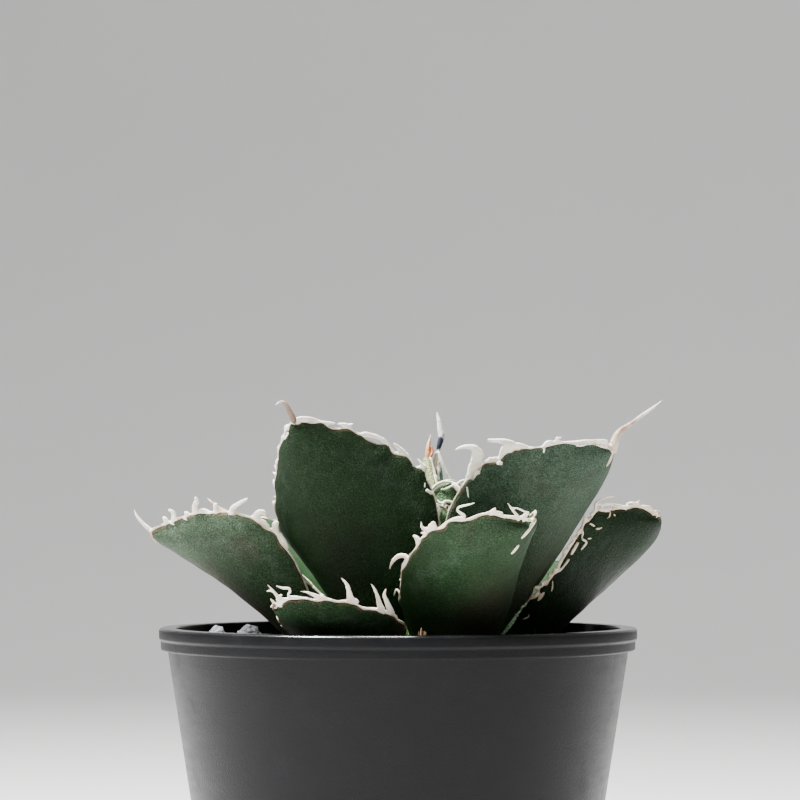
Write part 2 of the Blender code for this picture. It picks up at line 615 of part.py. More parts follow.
def main():
    """Clears the scene and builds every piece."""
    for old in list(bpy.data.objects):
        bpy.data.objects.remove(old)
    scene = bpy.context.scene
    home = bpy.data.collections.new("potted_agave")
    scene.collection.children.link(home)
    cutters = {}
    for group in ("drain_cutters", "root_cutters"):
        cutters[group] = bpy.data.collections.new(group)
        cutters[group].hide_render = True
        scene.collection.children.link(cutters[group])

    dress(pot(cutters), home, material("black_plastic", (0.012, 0.012, 0.014), 0.45))
    dress(soil(cutters), home, material("potting_mix", (0.10, 0.085, 0.07), 0.9))
    dress(stem(), home, material("stem_bark", (0.25, 0.17, 0.09), 0.8))
    for name, x, y, radius in STONES:
        dress(stone(name, x, y, radius), home, material(name + "_pumice", (0.45, 0.45, 0.45), 0.8))

    rng = random.Random(SEED)
    for leaf in LEAVES + BUD:
        grid = (STATIONS, COLUMNS) if leaf in LEAVES else (BUD_STATIONS, BUD_COLUMNS)
        blade = loft(leaf.name + "_blade", blade_rings(leaf, *grid))
        dress(blade, home, material(leaf.name + "_green", (0.10, 0.19, 0.11), 0.55))
        dress(border(leaf, rng), home, material(leaf.name + "_horn", (0.75, 0.70, 0.60), 0.5))


if __name__ == "__main__":
    main()
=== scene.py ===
"""Potted agave: the looks of a small toothed rosette in a black nursery pot.

Metres, +Z up. The origin is the middle of the pot's flat base. The rosette's
heights are counted from the rim plane. Angles are in degrees.
"""

import logging
import math
import random
from dataclasses import dataclass
from enum import Enum

import bmesh
import bpy
import numpy as np
from mathutils import Matrix, Vector, noise

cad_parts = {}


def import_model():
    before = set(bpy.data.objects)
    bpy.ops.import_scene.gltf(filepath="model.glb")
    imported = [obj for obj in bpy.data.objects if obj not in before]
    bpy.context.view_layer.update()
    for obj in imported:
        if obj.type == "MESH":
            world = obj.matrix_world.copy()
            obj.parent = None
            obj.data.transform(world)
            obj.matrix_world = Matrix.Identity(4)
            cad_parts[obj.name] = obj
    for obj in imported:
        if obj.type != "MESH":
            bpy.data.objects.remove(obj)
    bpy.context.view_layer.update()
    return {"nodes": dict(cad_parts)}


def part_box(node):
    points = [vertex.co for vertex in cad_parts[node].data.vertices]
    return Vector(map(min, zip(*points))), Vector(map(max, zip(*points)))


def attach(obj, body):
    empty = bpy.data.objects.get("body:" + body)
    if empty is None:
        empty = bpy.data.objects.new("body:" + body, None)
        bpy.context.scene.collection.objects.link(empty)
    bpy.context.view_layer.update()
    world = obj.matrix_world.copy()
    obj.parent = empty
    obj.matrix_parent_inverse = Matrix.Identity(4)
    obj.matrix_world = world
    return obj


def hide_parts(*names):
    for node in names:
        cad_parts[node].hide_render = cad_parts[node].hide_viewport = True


log = logging.getLogger("potted_agave")

Color = tuple[float, float, float]
Faces = list[tuple[int, ...]]
Array = np.ndarray
Socket = bpy.types.NodeSocket

MM = 0.001
POT_HEIGHT = 0.120
RIM_RADIUS = 0.075
LIP_HEIGHT = 0.007
BODY_TOP_RADIUS = 0.0722
BASE_RADIUS = 0.054
WALL = 0.0024
FLOOR = 0.003
SOIL_DROP = 0.0080
AXIS_X = 0.012
CROWN_TOP = -0.0030
CROWN_TOP_RADIUS = 0.011
CROWN_EDGE = -0.0115
CROWN_RADIUS = 0.046
CROWN_SLOPE = (CROWN_EDGE - CROWN_TOP) / (CROWN_RADIUS - CROWN_TOP_RADIUS)
GAP = 0.0003
BLADE_EDGE = 0.0009
MARGIN_STEP = 0.00045
FIRST_TOOTH = (0.30, 0.36)
LAST_TOOTH = 0.95
FIRST_LUMP = 0.24
LAST_LUMP = 0.97
LUMP_TO_TOOTH = 0.0014
GREATEST_SWELL = 0.0018
SKIN_RELIEF = 0.00032
IMPRINT_DEPTH = 0.00014
POINTS_AT_ONCE = 4000


class Side(Enum):
    """The two margins of a leaf, as seen from outside the rosette."""

    LEFT = -1
    RIGHT = 1


class Detail(Enum):
    """How finely a leaf is meshed: stations, columns, and the voxel of its horny edge in millimetres."""

    SHOWN = (84, 37, 0.25)
    BEHIND = (64, 29, 0.30)
    YOUNG = (52, 21, 0.21)


class Strand(Enum):
    """What a point of the horny edge belongs to."""

    MARGIN = 0
    TOOTH = 1
    SPINE = 2


def smooth(t: Array) -> Array:
    """Eases from 0 to 1."""
    t = np.clip(t, 0.0, 1.0)
    return t * t * (3 - 2 * t)


def unit(vectors: Array) -> Array:
    """The vectors at unit length."""
    return vectors / np.maximum(np.linalg.norm(vectors, axis=-1, keepdims=True), 1e-12)


def wander(points: Array, size: float, seed: float = 0.0) -> Array:
    """Smooth noise from -1 to 1 at points.

    Args:
        points: rows of coordinates.
        size: the width of one swell, in the points' unit.
        seed: shifts the noise, so that two pieces differ.

    Returns:
        One value for each point.
    """
    shift = Vector((seed, seed * 0.7, seed * 1.3))
    return np.array([noise.noise(Vector(point) / size + shift) for point in points])


def crown_height(radius: Array) -> Array:
    """Height of the crown's shoulder above the pot's base."""
    return POT_HEIGHT + CROWN_TOP + CROWN_SLOPE * (np.maximum(radius, CROWN_TOP_RADIUS) - CROWN_TOP_RADIUS)


def pot_inner_radius(height: float) -> float:
    """Radius of the pot's inner wall at a height."""
    outer = BASE_RADIUS + (BODY_TOP_RADIUS - BASE_RADIUS) * height / (POT_HEIGHT - LIP_HEIGHT)
    return min(outer, BODY_TOP_RADIUS) - WALL


def smooth_path(points: Array, count: int) -> Array:
    """A smooth curve through points, read at evenly spaced places.

    Args:
        points: the points that the curve goes through.
        count: how many places to read.

    Returns:
        The curve's points.
    """
    ends = np.vstack([2 * points[0] - points[1], points, 2 * points[-1] - points[-2]])
    place = np.linspace(0, len(points) - 1, count)
    k = np.minimum(place.astype(int), len(points) - 2)
    t = (place - k)[:, None]
    a, b, c, d = (ends[k + i] for i in range(4))
    return 0.5 * (2 * b + (c - a) * t + (2 * a - 5 * b + 4 * c - d) * t**2 + (3 * b - a - 3 * c + d) * t**3)


def tube_faces(rings: int, sides: int, first: int = 0) -> Faces:
    """Quads between closed rings of equal point counts, with a flat end at each side."""
    faces: Faces = []
    for k in range(rings - 1):
        near = first + k * sides
        faces += [(near + i, near + (i + 1) % sides, near + sides + (i + 1) % sides, near + sides + i)
                  for i in range(sides)]
    faces.append(tuple(range(first + sides - 1, first - 1, -1)))
    last = first + (rings - 1) * sides
    faces.append(tuple(range(last, last + sides)))
    return faces


def make_object(name: str, points: Array, faces: Faces, turn_out: bool = True) -> bpy.types.Object:
    """A mesh object in the scene.

    Args:
        name: the object's name.
        points: its vertices.
        faces: its faces.
        turn_out: whether its normals are turned outward.

    Returns:
        The object.
    """
    mesh = bpy.data.meshes.new(name)
    mesh.from_pydata(points.tolist(), [], faces)
    if turn_out:
        work = bmesh.new()
        work.from_mesh(mesh)
        bmesh.ops.recalc_face_normals(work, faces=work.faces)
        work.to_mesh(mesh)
        work.free()
    piece = bpy.data.objects.new(name, mesh)
    bpy.context.scene.collection.objects.link(piece)
    return piece


def paint(piece: bpy.types.Object, **values: Array) -> None:
    """Writes point attributes, which the materials read by name."""
    for name, value in values.items():
        kind = "FLOAT_VECTOR" if value.ndim == 2 else "FLOAT"
        attribute = piece.data.attributes.new(name, kind, "POINT")
        field = "vector" if value.ndim == 2 else "value"
        attribute.data.foreach_set(field, np.ascontiguousarray(value, np.float32).ravel())


def seat(piece: bpy.types.Object, finish: bpy.types.Material, nodes: tuple[str, ...] = (), slot: str = "",
         sharp: float = 50) -> None:
    """Dresses a piece and ties it to the frame.

    Args:
        piece: the object.
        finish: its material.
        nodes: the frame's nodes that it stands for.
        slot: a material slot name; not used.
        sharp: the angle above which an edge stays sharp.
    """
    piece.data.materials.clear()
    piece.data.materials.append(finish)
    piece.data.shade_smooth()
    piece.data.set_sharp_from_angle(angle=math.radians(sharp))
    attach(piece, "root")
    if nodes:
        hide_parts(*nodes)
    log.info("%s: %d faces", piece.name, len(piece.data.polygons))


class Shader:
    """A node tree that is built from left to right."""

    def __init__(self, tree: bpy.types.NodeTree) -> None:
        """Keeps the tree that nodes are added to."""
        self.tree = tree

    def add(self, kind: str, inputs: dict | None = None, **settings: object) -> bpy.types.Node:
        """Adds a node.

        Args:
            kind: the node's type without its ShaderNode prefix.
            inputs: values or output sockets by input name or index.
            **settings: the node's own properties.

        Returns:
            The node.
        """
        node = self.tree.nodes.new("ShaderNode" + kind)
        for name, value in settings.items():
            setattr(node, name, value)
        for name, value in (inputs or {}).items():
            if isinstance(value, Socket):
                self.tree.links.new(value, node.inputs[name])
            else:
                node.inputs[name].default_value = value
        return node

    def read(self, name: str, output: str = "Fac") -> Socket:
        """The output of a point attribute."""
        return self.add("Attribute", attribute_name=name).outputs[output]

    def math(self, operation: str, *values: object) -> Socket:
        """The result of an operation on values or sockets."""
        return self.add("Math", dict(enumerate(values)), operation=operation).outputs[0]

    def times(self, first: object, second: object) -> Socket:
        """The product of two values or sockets."""
        return self.math("MULTIPLY", first, second)

    def plus(self, first: object, second: object) -> Socket:
        """The sum of two values or sockets."""
        return self.math("ADD", first, second)

    def scaled(self, value: Socket, factor: float, offset: float) -> Socket:
        """A value times a factor, plus an offset."""
        return self.plus(self.times(value, factor), offset)

    def mix(self, share: object, low: object, high: object, blend: str = "MIX") -> Socket:
        """Mixes two colours.

        Args:
            share: how much of the second, as a value or a socket.
            low: the first colour.
            high: the second colour.
            blend: the blend mode.

        Returns:
            The mixed colour.
        """
        node = self.add("Mix", data_type="RGBA", blend_type=blend)
        for index, value in ((0, share), (6, low), (7, high)):
            if isinstance(value, Socket):
                self.tree.links.new(value, node.inputs[index])
            else:
                node.inputs[index].default_value = (*value, 1) if isinstance(value, tuple) else value
        return node.outputs[2]

    def spread(self, value: Socket, low: float, high: float, start: float = 0.0,
               end: float = 1.0) -> Socket:
        """Maps values from low..high to start..end, smoothly and clamped."""
        return self.add("MapRange", {"Value": value, "From Min": low, "From Max": high, "To Min": start,
                                     "To Max": end}, interpolation_type="SMOOTHSTEP").outputs["Result"]

    def ramp(self, value: Socket, stops: tuple[tuple[float, Color], ...],
             step: bool = False) -> Socket:
        """A colour ramp.

        Args:
            value: what the ramp reads.
            stops: places and colours.
            step: whether the colours change in steps.

        Returns:
            The colour.
        """
        node = self.add("ValToRGB", {"Fac": value})
        node.color_ramp.interpolation = "CONSTANT" if step else "LINEAR"
        elements = node.color_ramp.elements
        while len(elements) < len(stops):
            elements.new(0.5)
        for element, (place, color) in zip(elements, stops):
            element.position = place
            element.color = (*color, 1)
        return node.outputs["Color"]

    def use(self, group: bpy.types.NodeTree, **inputs: object) -> bpy.types.Node:
        """Places a shared group with its own values."""
        node = self.tree.nodes.new("ShaderNodeGroup")
        node.node_tree = group
        for name, value in inputs.items():
            if isinstance(value, Socket):
                self.tree.links.new(value, node.inputs[name])
            else:
                node.inputs[name].default_value = value
        return node


class Effects:
    """The shader node groups that several finishes share, each built once."""

    def __init__(self) -> None:
        """Builds the groups."""
        self.mottle = self._mottle()
        self.grain = self._grain()
        self.fibre = self._fibre()
        self.dust = self._dust()

    @staticmethod
    def _group(name: str, inputs: tuple[tuple[str, str, object], ...], outputs: tuple[str, ...]) -> tuple:
        """Makes an empty group.

        Args:
            name: the group's name.
            inputs: name, socket type and value of each input.
            outputs: the names of its float outputs.

        Returns:
            The group, a shader over it, its input node and its output node.
        """
        group = bpy.data.node_groups.new(name, "ShaderNodeTree")
        for label, kind, value in inputs:
            socket = group.interface.new_socket(label, in_out="INPUT", socket_type=kind)
            if value is not None:
                socket.default_value = value
        for label in outputs:
            group.interface.new_socket(label, in_out="OUTPUT", socket_type="NodeSocketFloat")
        shader = Shader(group)
        return group, shader, group.nodes.new("NodeGroupInput"), group.nodes.new("NodeGroupOutput")

    def _mottle(self) -> bpy.types.NodeTree:
        """Soft blotches: a mask from 0 to 1."""
        group, sh, enter, leave = self._group("mottle", (
            ("Vector", "NodeSocketVector", None), ("Scale", "NodeSocketFloat", 100.0),
            ("Low", "NodeSocketFloat", 0.4), ("High", "NodeSocketFloat", 0.65)), ("Mask",))
        cloud = sh.add("TexNoise", {"Vector": enter.outputs["Vector"], "Scale": enter.outputs["Scale"],
                                    "Detail": 4.0, "Roughness": 0.6})
        spread = sh.add("MapRange", {"Value": cloud.outputs["Fac"], "From Min": enter.outputs["Low"],
                                     "From Max": enter.outputs["High"]}, interpolation_type="SMOOTHSTEP")
        group.links.new(spread.outputs["Result"], leave.inputs["Mask"])
        return group

    def _grain(self) -> bpy.types.NodeTree:
        """Fine raised granules: a mask that is 1 on each granule's top, and its height."""
        group, sh, enter, leave = self._group("granules", (
            ("Vector", "NodeSocketVector", None), ("Scale", "NodeSocketFloat", 1600.0)), ("Mask", "Height"))
        cells = sh.add("TexVoronoi", {"Vector": enter.outputs["Vector"], "Scale": enter.outputs["Scale"]},
                       feature="SMOOTH_F1")
        top = sh.spread(cells.outputs["Distance"], 0.15, 0.6, 1.0, 0.0)
        part = sh.times(enter.outputs["Scale"], 0.6)
        cloud = sh.add("TexNoise", {"Vector": enter.outputs["Vector"], "Scale": part, "Detail": 2.0})
        uneven = sh.times(top, sh.spread(cloud.outputs["Fac"], 0.36, 0.66, 0.15, 1.0))
        group.links.new(uneven, leave.inputs["Mask"])
        group.links.new(sh.plus(uneven, sh.times(top, 0.4)), leave.inputs["Height"])
        return group

    def _fibre(self) -> bpy.types.NodeTree:
        """Fine lines along a growth vector whose second part runs along them."""
        group, sh, enter, leave = self._group("fibres", (
            ("Vector", "NodeSocketVector", None), ("Scale", "NodeSocketFloat", 900.0),
            ("Stretch", "NodeSocketFloat", 0.08)), ("Mask",))
        squeeze = sh.add("CombineXYZ", {"X": 1.0, "Y": enter.outputs["Stretch"], "Z": 1.0})
        long = sh.add("VectorMath", {0: enter.outputs["Vector"], 1: squeeze.outputs[0]}, operation="MULTIPLY")
        lines = sh.add("TexNoise", {"Vector": long.outputs[0], "Scale": enter.outputs["Scale"],
                                    "Detail": 3.0})
        group.links.new(sh.spread(lines.outputs["Fac"], 0.35, 0.65), leave.inputs["Mask"])
        return group

    def _dust(self) -> bpy.types.NodeTree:
        """Dust that lies on upward faces in patches: a mask."""
        group, sh, enter, leave = self._group("dust", (
            ("Vector", "NodeSocketVector", None), ("Amount", "NodeSocketFloat", 0.5)), ("Mask",))
        normal = sh.add("NewGeometry").outputs["Normal"]
        level = sh.spread(sh.add("SeparateXYZ", {0: normal}).outputs["Z"], 0.1, 0.95)
        patch = sh.add("TexNoise", {"Vector": enter.outputs["Vector"], "Scale": 130.0, "Detail": 5.0})
        speck = sh.add("TexNoise", {"Vector": enter.outputs["Vector"], "Scale": 2600.0, "Detail": 1.0})
        both = sh.times(sh.spread(patch.outputs["Fac"], 0.35, 0.7),
                       sh.spread(speck.outputs["Fac"], 0.45, 0.7))
        some = sh.times(both, sh.scaled(level, 0.8, 0.2))
        group.links.new(sh.times(some, enter.outputs["Amount"]), leave.inputs["Mask"])
        return group


@dataclass(frozen=True)
class Finish:
    """A base for finishes: its name and the groups that it draws on."""

    name: str
    effects: Effects

    def start(self) -> tuple[bpy.types.Material, Shader, bpy.types.Node, Socket]:
        """Makes the material.

        Returns:
            The material, a shader over its tree, its surface node and the object's own coordinates.
        """
        finish = bpy.data.materials.new(self.name)
        finish.use_nodes = True
        shader = Shader(finish.node_tree)
        surface = finish.node_tree.nodes["Principled BSDF"]
        return finish, shader, surface, shader.add("TexCoord").outputs["Object"]

    def blotches(self, shader: Shader, place: Socket, scale: float, low: float,
                 high: float) -> Socket:
        """Soft blotches at a scale: a mask that rises as their noise goes from low to high."""
        return shader.use(self.effects.mottle, Vector=place, Scale=scale, Low=low, High=high).outputs["Mask"]

    def fibres(self, shader: Shader, place: Socket, scale: float,
               stretch: float) -> Socket:
        """Fine lines along a growth vector, as a mask."""
        return shader.use(self.effects.fibre, Vector=place, Scale=scale, Stretch=stretch).outputs["Mask"]

    @staticmethod
    def close(shader: Shader, surface: bpy.types.Node, color: object, roughness: object, height: object,
              depth: float, specular: float = 0.5) -> None:
        """Feeds colour, roughness and relief to the surface.

        Args:
            shader: the tree.
            surface: its surface node.
            color: the colour's socket.
            roughness: the roughness's socket.
            height: the relief's socket, from 0 to 1.
            depth: how deep the relief is, in metres.
            specular: how strongly the surface reflects.
        """
        surface.inputs["Specular IOR Level"].default_value = specular
        bump = shader.add("Bump", {"Height": height, "Distance": depth, "Strength": 1.0})
        shader.tree.links.new(color, surface.inputs["Base Color"])
        shader.tree.links.new(roughness, surface.inputs["Roughness"])
        shader.tree.links.new(bump.outputs["Normal"], surface.inputs["Normal"])


@dataclass(frozen=True)
class BladeFinish(Finish):
    """A leaf blade: deep green tissue under a grey bloom, finely granular, tan along its edge, darkened leaf
    by leaf with painted shade.
    """

    deep: Color = (0.0065, 0.027, 0.0055)
    fresh: Color = (0.0085, 0.052, 0.0060)
    bloom: Color = (0.060, 0.100, 0.054)
    bloom_share: float = 0.75
    brown_share: float = 0.20
    # The leaf's light level: its colour is multiplied by it, as painted shade on leaves that face away from
    # the light.
    painted_light_level: float = 0.80

    def material(self) -> bpy.types.Material:
        """Builds the material."""
        finish, sh, surface, place = self.start()
        growth = sh.read("growth", "Vector")
        low, rim, imprint = sh.read("low"), sh.read("rim"), sh.read("imprint")
        soft = self.blotches(sh, place, 70.0, 0.38, 0.66)
        fine = self.blotches(sh, place, 420.0, 0.40, 0.62)
        grain = sh.use(self.effects.grain, Vector=place, Scale=2400.0)
        lines = self.fibres(sh, growth, 700.0, 0.06)
        # Fresh green low on the outer face; the inner faces' bases stay deep green, as painted shade.
        color = sh.mix(low, self.deep, self.fresh)
        color = sh.mix(sh.times(soft, 0.45), color, self.fresh)
        share = sh.times(sh.read("bloom"), sh.scaled(soft, 0.45, 0.62))
        share = sh.times(share, sh.scaled(lines, 0.22, 0.78))
        color = sh.mix(sh.times(share, self.bloom_share), color, self.bloom)
        # Pale granule tops where the bloom lies: partly the granules' own colour, partly painted sparkle of
        # light.
        specks = sh.times(grain.outputs["Mask"], sh.scaled(share, 0.5, 0.22))
        color = sh.mix(specks, color, tuple(min(1, 1.6 * part) for part in self.bloom))
        color = sh.mix(sh.times(fine, 0.20), color, (0.008, 0.024, 0.010))
        spot = self.blotches(sh, place, 1100.0, 0.56, 0.62)
        color = sh.mix(sh.times(sh.times(spot, low), 0.75), color, (0.020, 0.014, 0.008))
        color = sh.mix(sh.times(imprint, 0.30), color, (0.095, 0.14, 0.10))
        patch = self.blotches(sh, place, 38.0, 0.56, 0.72)
        brown = sh.plus(patch, sh.times(sh.read("keel"), sh.scaled(fine, 0.5, 1.0)))
        brown = sh.math("MINIMUM", brown, 1.5)
        color = sh.mix(sh.times(brown, self.brown_share), color, (0.060, 0.043, 0.034))
        scar = self.blotches(sh, place, 240.0, 0.745, 0.765)
        color = sh.mix(sh.times(scar, 0.8), color, (0.34, 0.25, 0.15))
        worn = self.blotches(sh, place, 190.0, 0.42, 0.62)
        worn = sh.scaled(worn, 0.60, 0.08)
        color = sh.mix(sh.times(sh.spread(rim, 0.35, 1.0), worn), color, (0.15, 0.095, 0.05))
        # Fine dark and light speckle of the skin, all scaled by the leaf's light level, which is painted
        # shade.
        dots = self.blotches(sh, place, 2700.0, 0.43, 0.58)
        depth = sh.mix(dots, tuple([0.55 * self.painted_light_level] * 3), tuple([1.32 * self.painted_light_level] * 3))
        color = sh.mix(1.0, color, depth, "MULTIPLY")
        rough = sh.plus(sh.times(share, 0.16), sh.scaled(soft, 0.08, 0.44))
        height = sh.plus(grain.outputs["Height"], sh.times(lines, 0.35))
        self.close(sh, surface, color, rough, height, 0.00016, specular=0.07)
        return finish


@dataclass(frozen=True)
class HornFinish(Finish):
    """The horny edge: chalky cream teeth with brown roots, and a spine in its own colours."""

    chalk: Color = (0.86, 0.82, 0.72)
    tan: Color = (0.26, 0.15, 0.075)
    thin: Color = (0.17, 0.155, 0.085)
    spine_base: Color = (0.52, 0.38, 0.24)
    spine_middle: Color = (0.16, 0.10, 0.075)
    spine_tip: Color = (0.62, 0.54, 0.44)
    bands: tuple[float, float, float, float] = (0.18, 0.46, 0.66, 0.92)

    def material(self) -> bpy.types.Material:
        """Builds the material."""
        finish, sh, surface, place = self.start()
        share, spine, junction = sh.read("share"), sh.read("spine"), sh.read("junction")
        blotch = self.blotches(sh, place, 260.0, 0.44, 0.64)
        fine = self.blotches(sh, place, 1400.0, 0.35, 0.70)
        lines = self.fibres(sh, place, 1700.0, 0.25)
        dull = tuple(part * fade for part, fade in zip(self.chalk, (0.80, 0.74, 0.66)))
        aged = sh.mix(blotch, self.chalk, dull)
        aged = sh.mix(sh.times(fine, 0.28), aged, (0.58, 0.50, 0.38))
        bare = sh.times(sh.read("bare"), sh.scaled(blotch, 0.3, 0.6))
        aged = sh.mix(bare, aged, self.thin)
        near = sh.times(junction, sh.scaled(blotch, 0.6, 0.4))
        aged = sh.mix(near, aged, self.tan)
        tips = sh.times(sh.spread(share, 0.86, 1.0), 0.45)
        aged = sh.mix(tips, aged, (0.40, 0.24, 0.13))
        needle = sh.ramp(sh.plus(share, sh.times(sh.math("SUBTRACT", blotch, 0.5), 0.10)), (
            (0.0, self.spine_base), (self.bands[0], self.spine_base), (self.bands[1], self.spine_middle),
            (self.bands[2], self.spine_middle), (self.bands[3], self.spine_tip)))
        needle = sh.mix(sh.times(lines, 0.30), needle, tuple(0.55 * part for part in self.spine_middle))
        color = sh.mix(sh.spread(spine, 0.25, 0.75), aged, needle)
        rough = sh.scaled(fine, 0.20, 0.42)
        self.close(sh, surface, color, rough, sh.plus(fine, sh.times(lines, 0.7)), 0.00006, specular=0.4)
        return finish


@dataclass(frozen=True)
class PlasticFinish(Finish):
    """Moulded black plastic: fine texture, faint flow bands, scuffs, dust and a rim polished by handling."""

    body: Color = (0.0036, 0.0037, 0.0042)

    def material(self) -> bpy.types.Material:
        """Builds the material."""
        finish, sh, surface, place = self.start()
        parts = sh.add("SeparateXYZ", {0: place})
        bands = sh.add("CombineXYZ", {"X": sh.times(parts.outputs["X"], 0.15),
                                      "Y": sh.times(parts.outputs["Y"], 0.15),
                                      "Z": parts.outputs["Z"]})
        flow = self.blotches(sh, bands.outputs[0], 420.0, 0.3, 0.7)
        grit = sh.use(self.effects.grain, Vector=place, Scale=2300.0)
        scuff = self.fibres(sh, place, 1500.0, 0.05)
        worn = self.blotches(sh, place, 90.0, 0.52, 0.72)
        dust = sh.use(self.effects.dust, Vector=place, Amount=0.14).outputs["Mask"]
        color = sh.mix(sh.times(flow, 0.35), self.body, (0.0050, 0.0052, 0.0060))
        color = sh.mix(sh.times(sh.times(scuff, worn), 0.12), color, (0.030, 0.031, 0.034))
        color = sh.mix(dust, color, (0.085, 0.080, 0.072))
        rough = sh.plus(sh.times(flow, 0.05), sh.scaled(dust, 0.5, 0.34))
        rough = sh.plus(rough, sh.times(worn, 0.08))
        height = sh.plus(grit.outputs["Height"], sh.times(flow, 0.3))
        self.close(sh, surface, color, rough, height, 0.00003, specular=0.09)
        polished = sh.times(sh.spread(parts.outputs["Z"], POT_HEIGHT - 0.0009, POT_HEIGHT - 0.0004), 0.8)
        sh.tree.links.new(polished, surface.inputs["Coat Weight"])
        surface.inputs["Coat Roughness"].default_value = 0.14
        return finish


@dataclass(frozen=True)
class GravelFinish(Finish):
    """Mineral potting mix: lava, pumice and clay grains, each with its own tone, pitted and speckled."""

    tones: tuple[tuple[float, Color], ...] = (
        (0.0, (0.020, 0.019, 0.020)), (0.34, (0.045, 0.040, 0.038)), (0.52, (0.085, 0.082, 0.082)),
        (0.66, (0.100, 0.055, 0.032)), (0.78, (0.19, 0.185, 0.18)), (0.90, (0.36, 0.34, 0.31)))
    speck: Color = (0.50, 0.50, 0.50)
    specks: float = 0.65

    def material(self) -> bpy.types.Material:
        """Builds the material."""
        finish, sh, surface, place = self.start()
        tone = sh.read("tone")
        color = sh.ramp(tone, self.tones, step=True)
        pits = self.blotches(sh, place, 900.0, 0.36, 0.58)
        dots = self.blotches(sh, place, 1500.0, 0.60, 0.66)
        # Darker where the pitted relief is low: painted shade in the pits.
        color = sh.mix(0.6, color, sh.mix(pits, tuple([0.35] * 3), tuple([1.0] * 3)), "MULTIPLY")
        color = sh.mix(sh.times(dots, self.specks), color, self.speck)
        dust = sh.use(self.effects.dust, Vector=place, Amount=0.6).outputs["Mask"]
        color = sh.mix(dust, color, (0.24, 0.22, 0.19))
        rough = sh.scaled(pits, 0.2, 0.65)
        grain = sh.use(self.effects.grain, Vector=place, Scale=1300.0)
        self.close(sh, surface, color, rough, sh.plus(pits, grain.outputs["Height"]), 0.00018)
        return finish


@dataclass(frozen=True)
class BarkFinish(Finish):
    """The stem: green leaf-base tissue at the heart of the crown, dry brown fibre outward and below."""

    fresh: Color = (0.018, 0.044, 0.010)
    dry: Color = (0.045, 0.026, 0.013)

    def material(self) -> bpy.types.Material:
        """Builds the material."""
        finish, sh, surface, place = self.start()
        parts = sh.add("SeparateXYZ", {0: place})
        aside = sh.math("SUBTRACT", parts.outputs["X"], AXIS_X)
        back = sh.math("POWER", parts.outputs["Y"], 2.0)
        reach = sh.math("SQRT", sh.plus(sh.math("POWER", aside, 2.0), back))
        blotch = self.blotches(sh, place, 160.0, 0.35, 0.65)
        lines = self.fibres(sh, place, 900.0, 0.2)
        ageing = sh.spread(sh.plus(reach, sh.times(blotch, 0.010)), 0.020, 0.040)
        color = sh.mix(ageing, self.fresh, self.dry)
        color = sh.mix(sh.times(lines, 0.55), color, (0.016, 0.013, 0.007))
        color = sh.mix(sh.times(blotch, 0.25), color, (0.080, 0.058, 0.034))
        rough = sh.scaled(blotch, 0.15, 0.65)
        self.close(sh, surface, color, rough, sh.plus(lines, blotch), 0.00025, specular=0.10)
        return finish


@dataclass(frozen=True)
class PaperFinish(Finish):
    """Dry leaf bases: papery brown scales with dark veins and frayed, paler edges."""

    brown: Color = (0.24, 0.12, 0.050)
    pale: Color = (0.46, 0.31, 0.17)

    def material(self) -> bpy.types.Material:
        """Builds the material."""
        finish, sh, surface, place = self.start()
        growth = sh.read("growth", "Vector")
        veins = self.fibres(sh, growth, 1300.0, 0.05)
        blotch = self.blotches(sh, place, 260.0, 0.38, 0.66)
        color = sh.mix(blotch, self.brown, self.pale)
        color = sh.mix(sh.times(veins, 0.6), color, (0.075, 0.038, 0.018))
        rough = sh.scaled(blotch, 0.15, 0.6)
        self.close(sh, surface, color, rough, sh.plus(veins, blotch), 0.00015)
        return finish


@dataclass(frozen=True)
class StudioFinish(Finish):
    """Pale painted floor and backdrop, very slightly uneven."""

    paint: Color = (0.74, 0.737, 0.73)

    def material(self) -> bpy.types.Material:
        """Builds the material."""
        finish, sh, surface, place = self.start()
        cloud = self.blotches(sh, place, 3.0, 0.3, 0.7)
        color = sh.mix(sh.times(cloud, 0.5), self.paint, tuple(0.97 * part for part in self.paint))
        rough = sh.scaled(cloud, 0.05, 0.75)
        self.close(sh, surface, color, rough, cloud, 0.0002)
        return finish


@dataclass(frozen=True)
class Tooth:
    """One tooth of the margin: length and half breadth in millimetres, angles in degrees."""

    side: Side
    place: float
    length: float
    lean: float = 0
    hook: float = 0
    lift: float = 0
    breadth: float = 1.0


@dataclass(frozen=True)
class Streak:
    """A tooth or thread of horn on the margin, root first.

    Each point is (place along the margin, distance out from it, half breadth), the last two in
    millimetres. A separate program worked most of them out from points read off the photograph.
    """

    side: Side
    points: tuple[tuple[float, float, float], ...]


def left(*points: tuple[float, float, float]) -> Streak:
    """A streak of the left margin."""
    return Streak(Side.LEFT, points)


def right(*points: tuple[float, float, float]) -> Streak:
    """A streak of the right margin."""
    return Streak(Side.RIGHT, points)


@dataclass(frozen=True)
class Thread:
    """A thread of horn in the tip's own axes: (forward, up, left, half breadth) in millimetres.

    A separate program worked most of them out from points read off the photograph.
    """

    points: tuple[tuple[float, float, float, float], ...]
    of_spine: bool = False


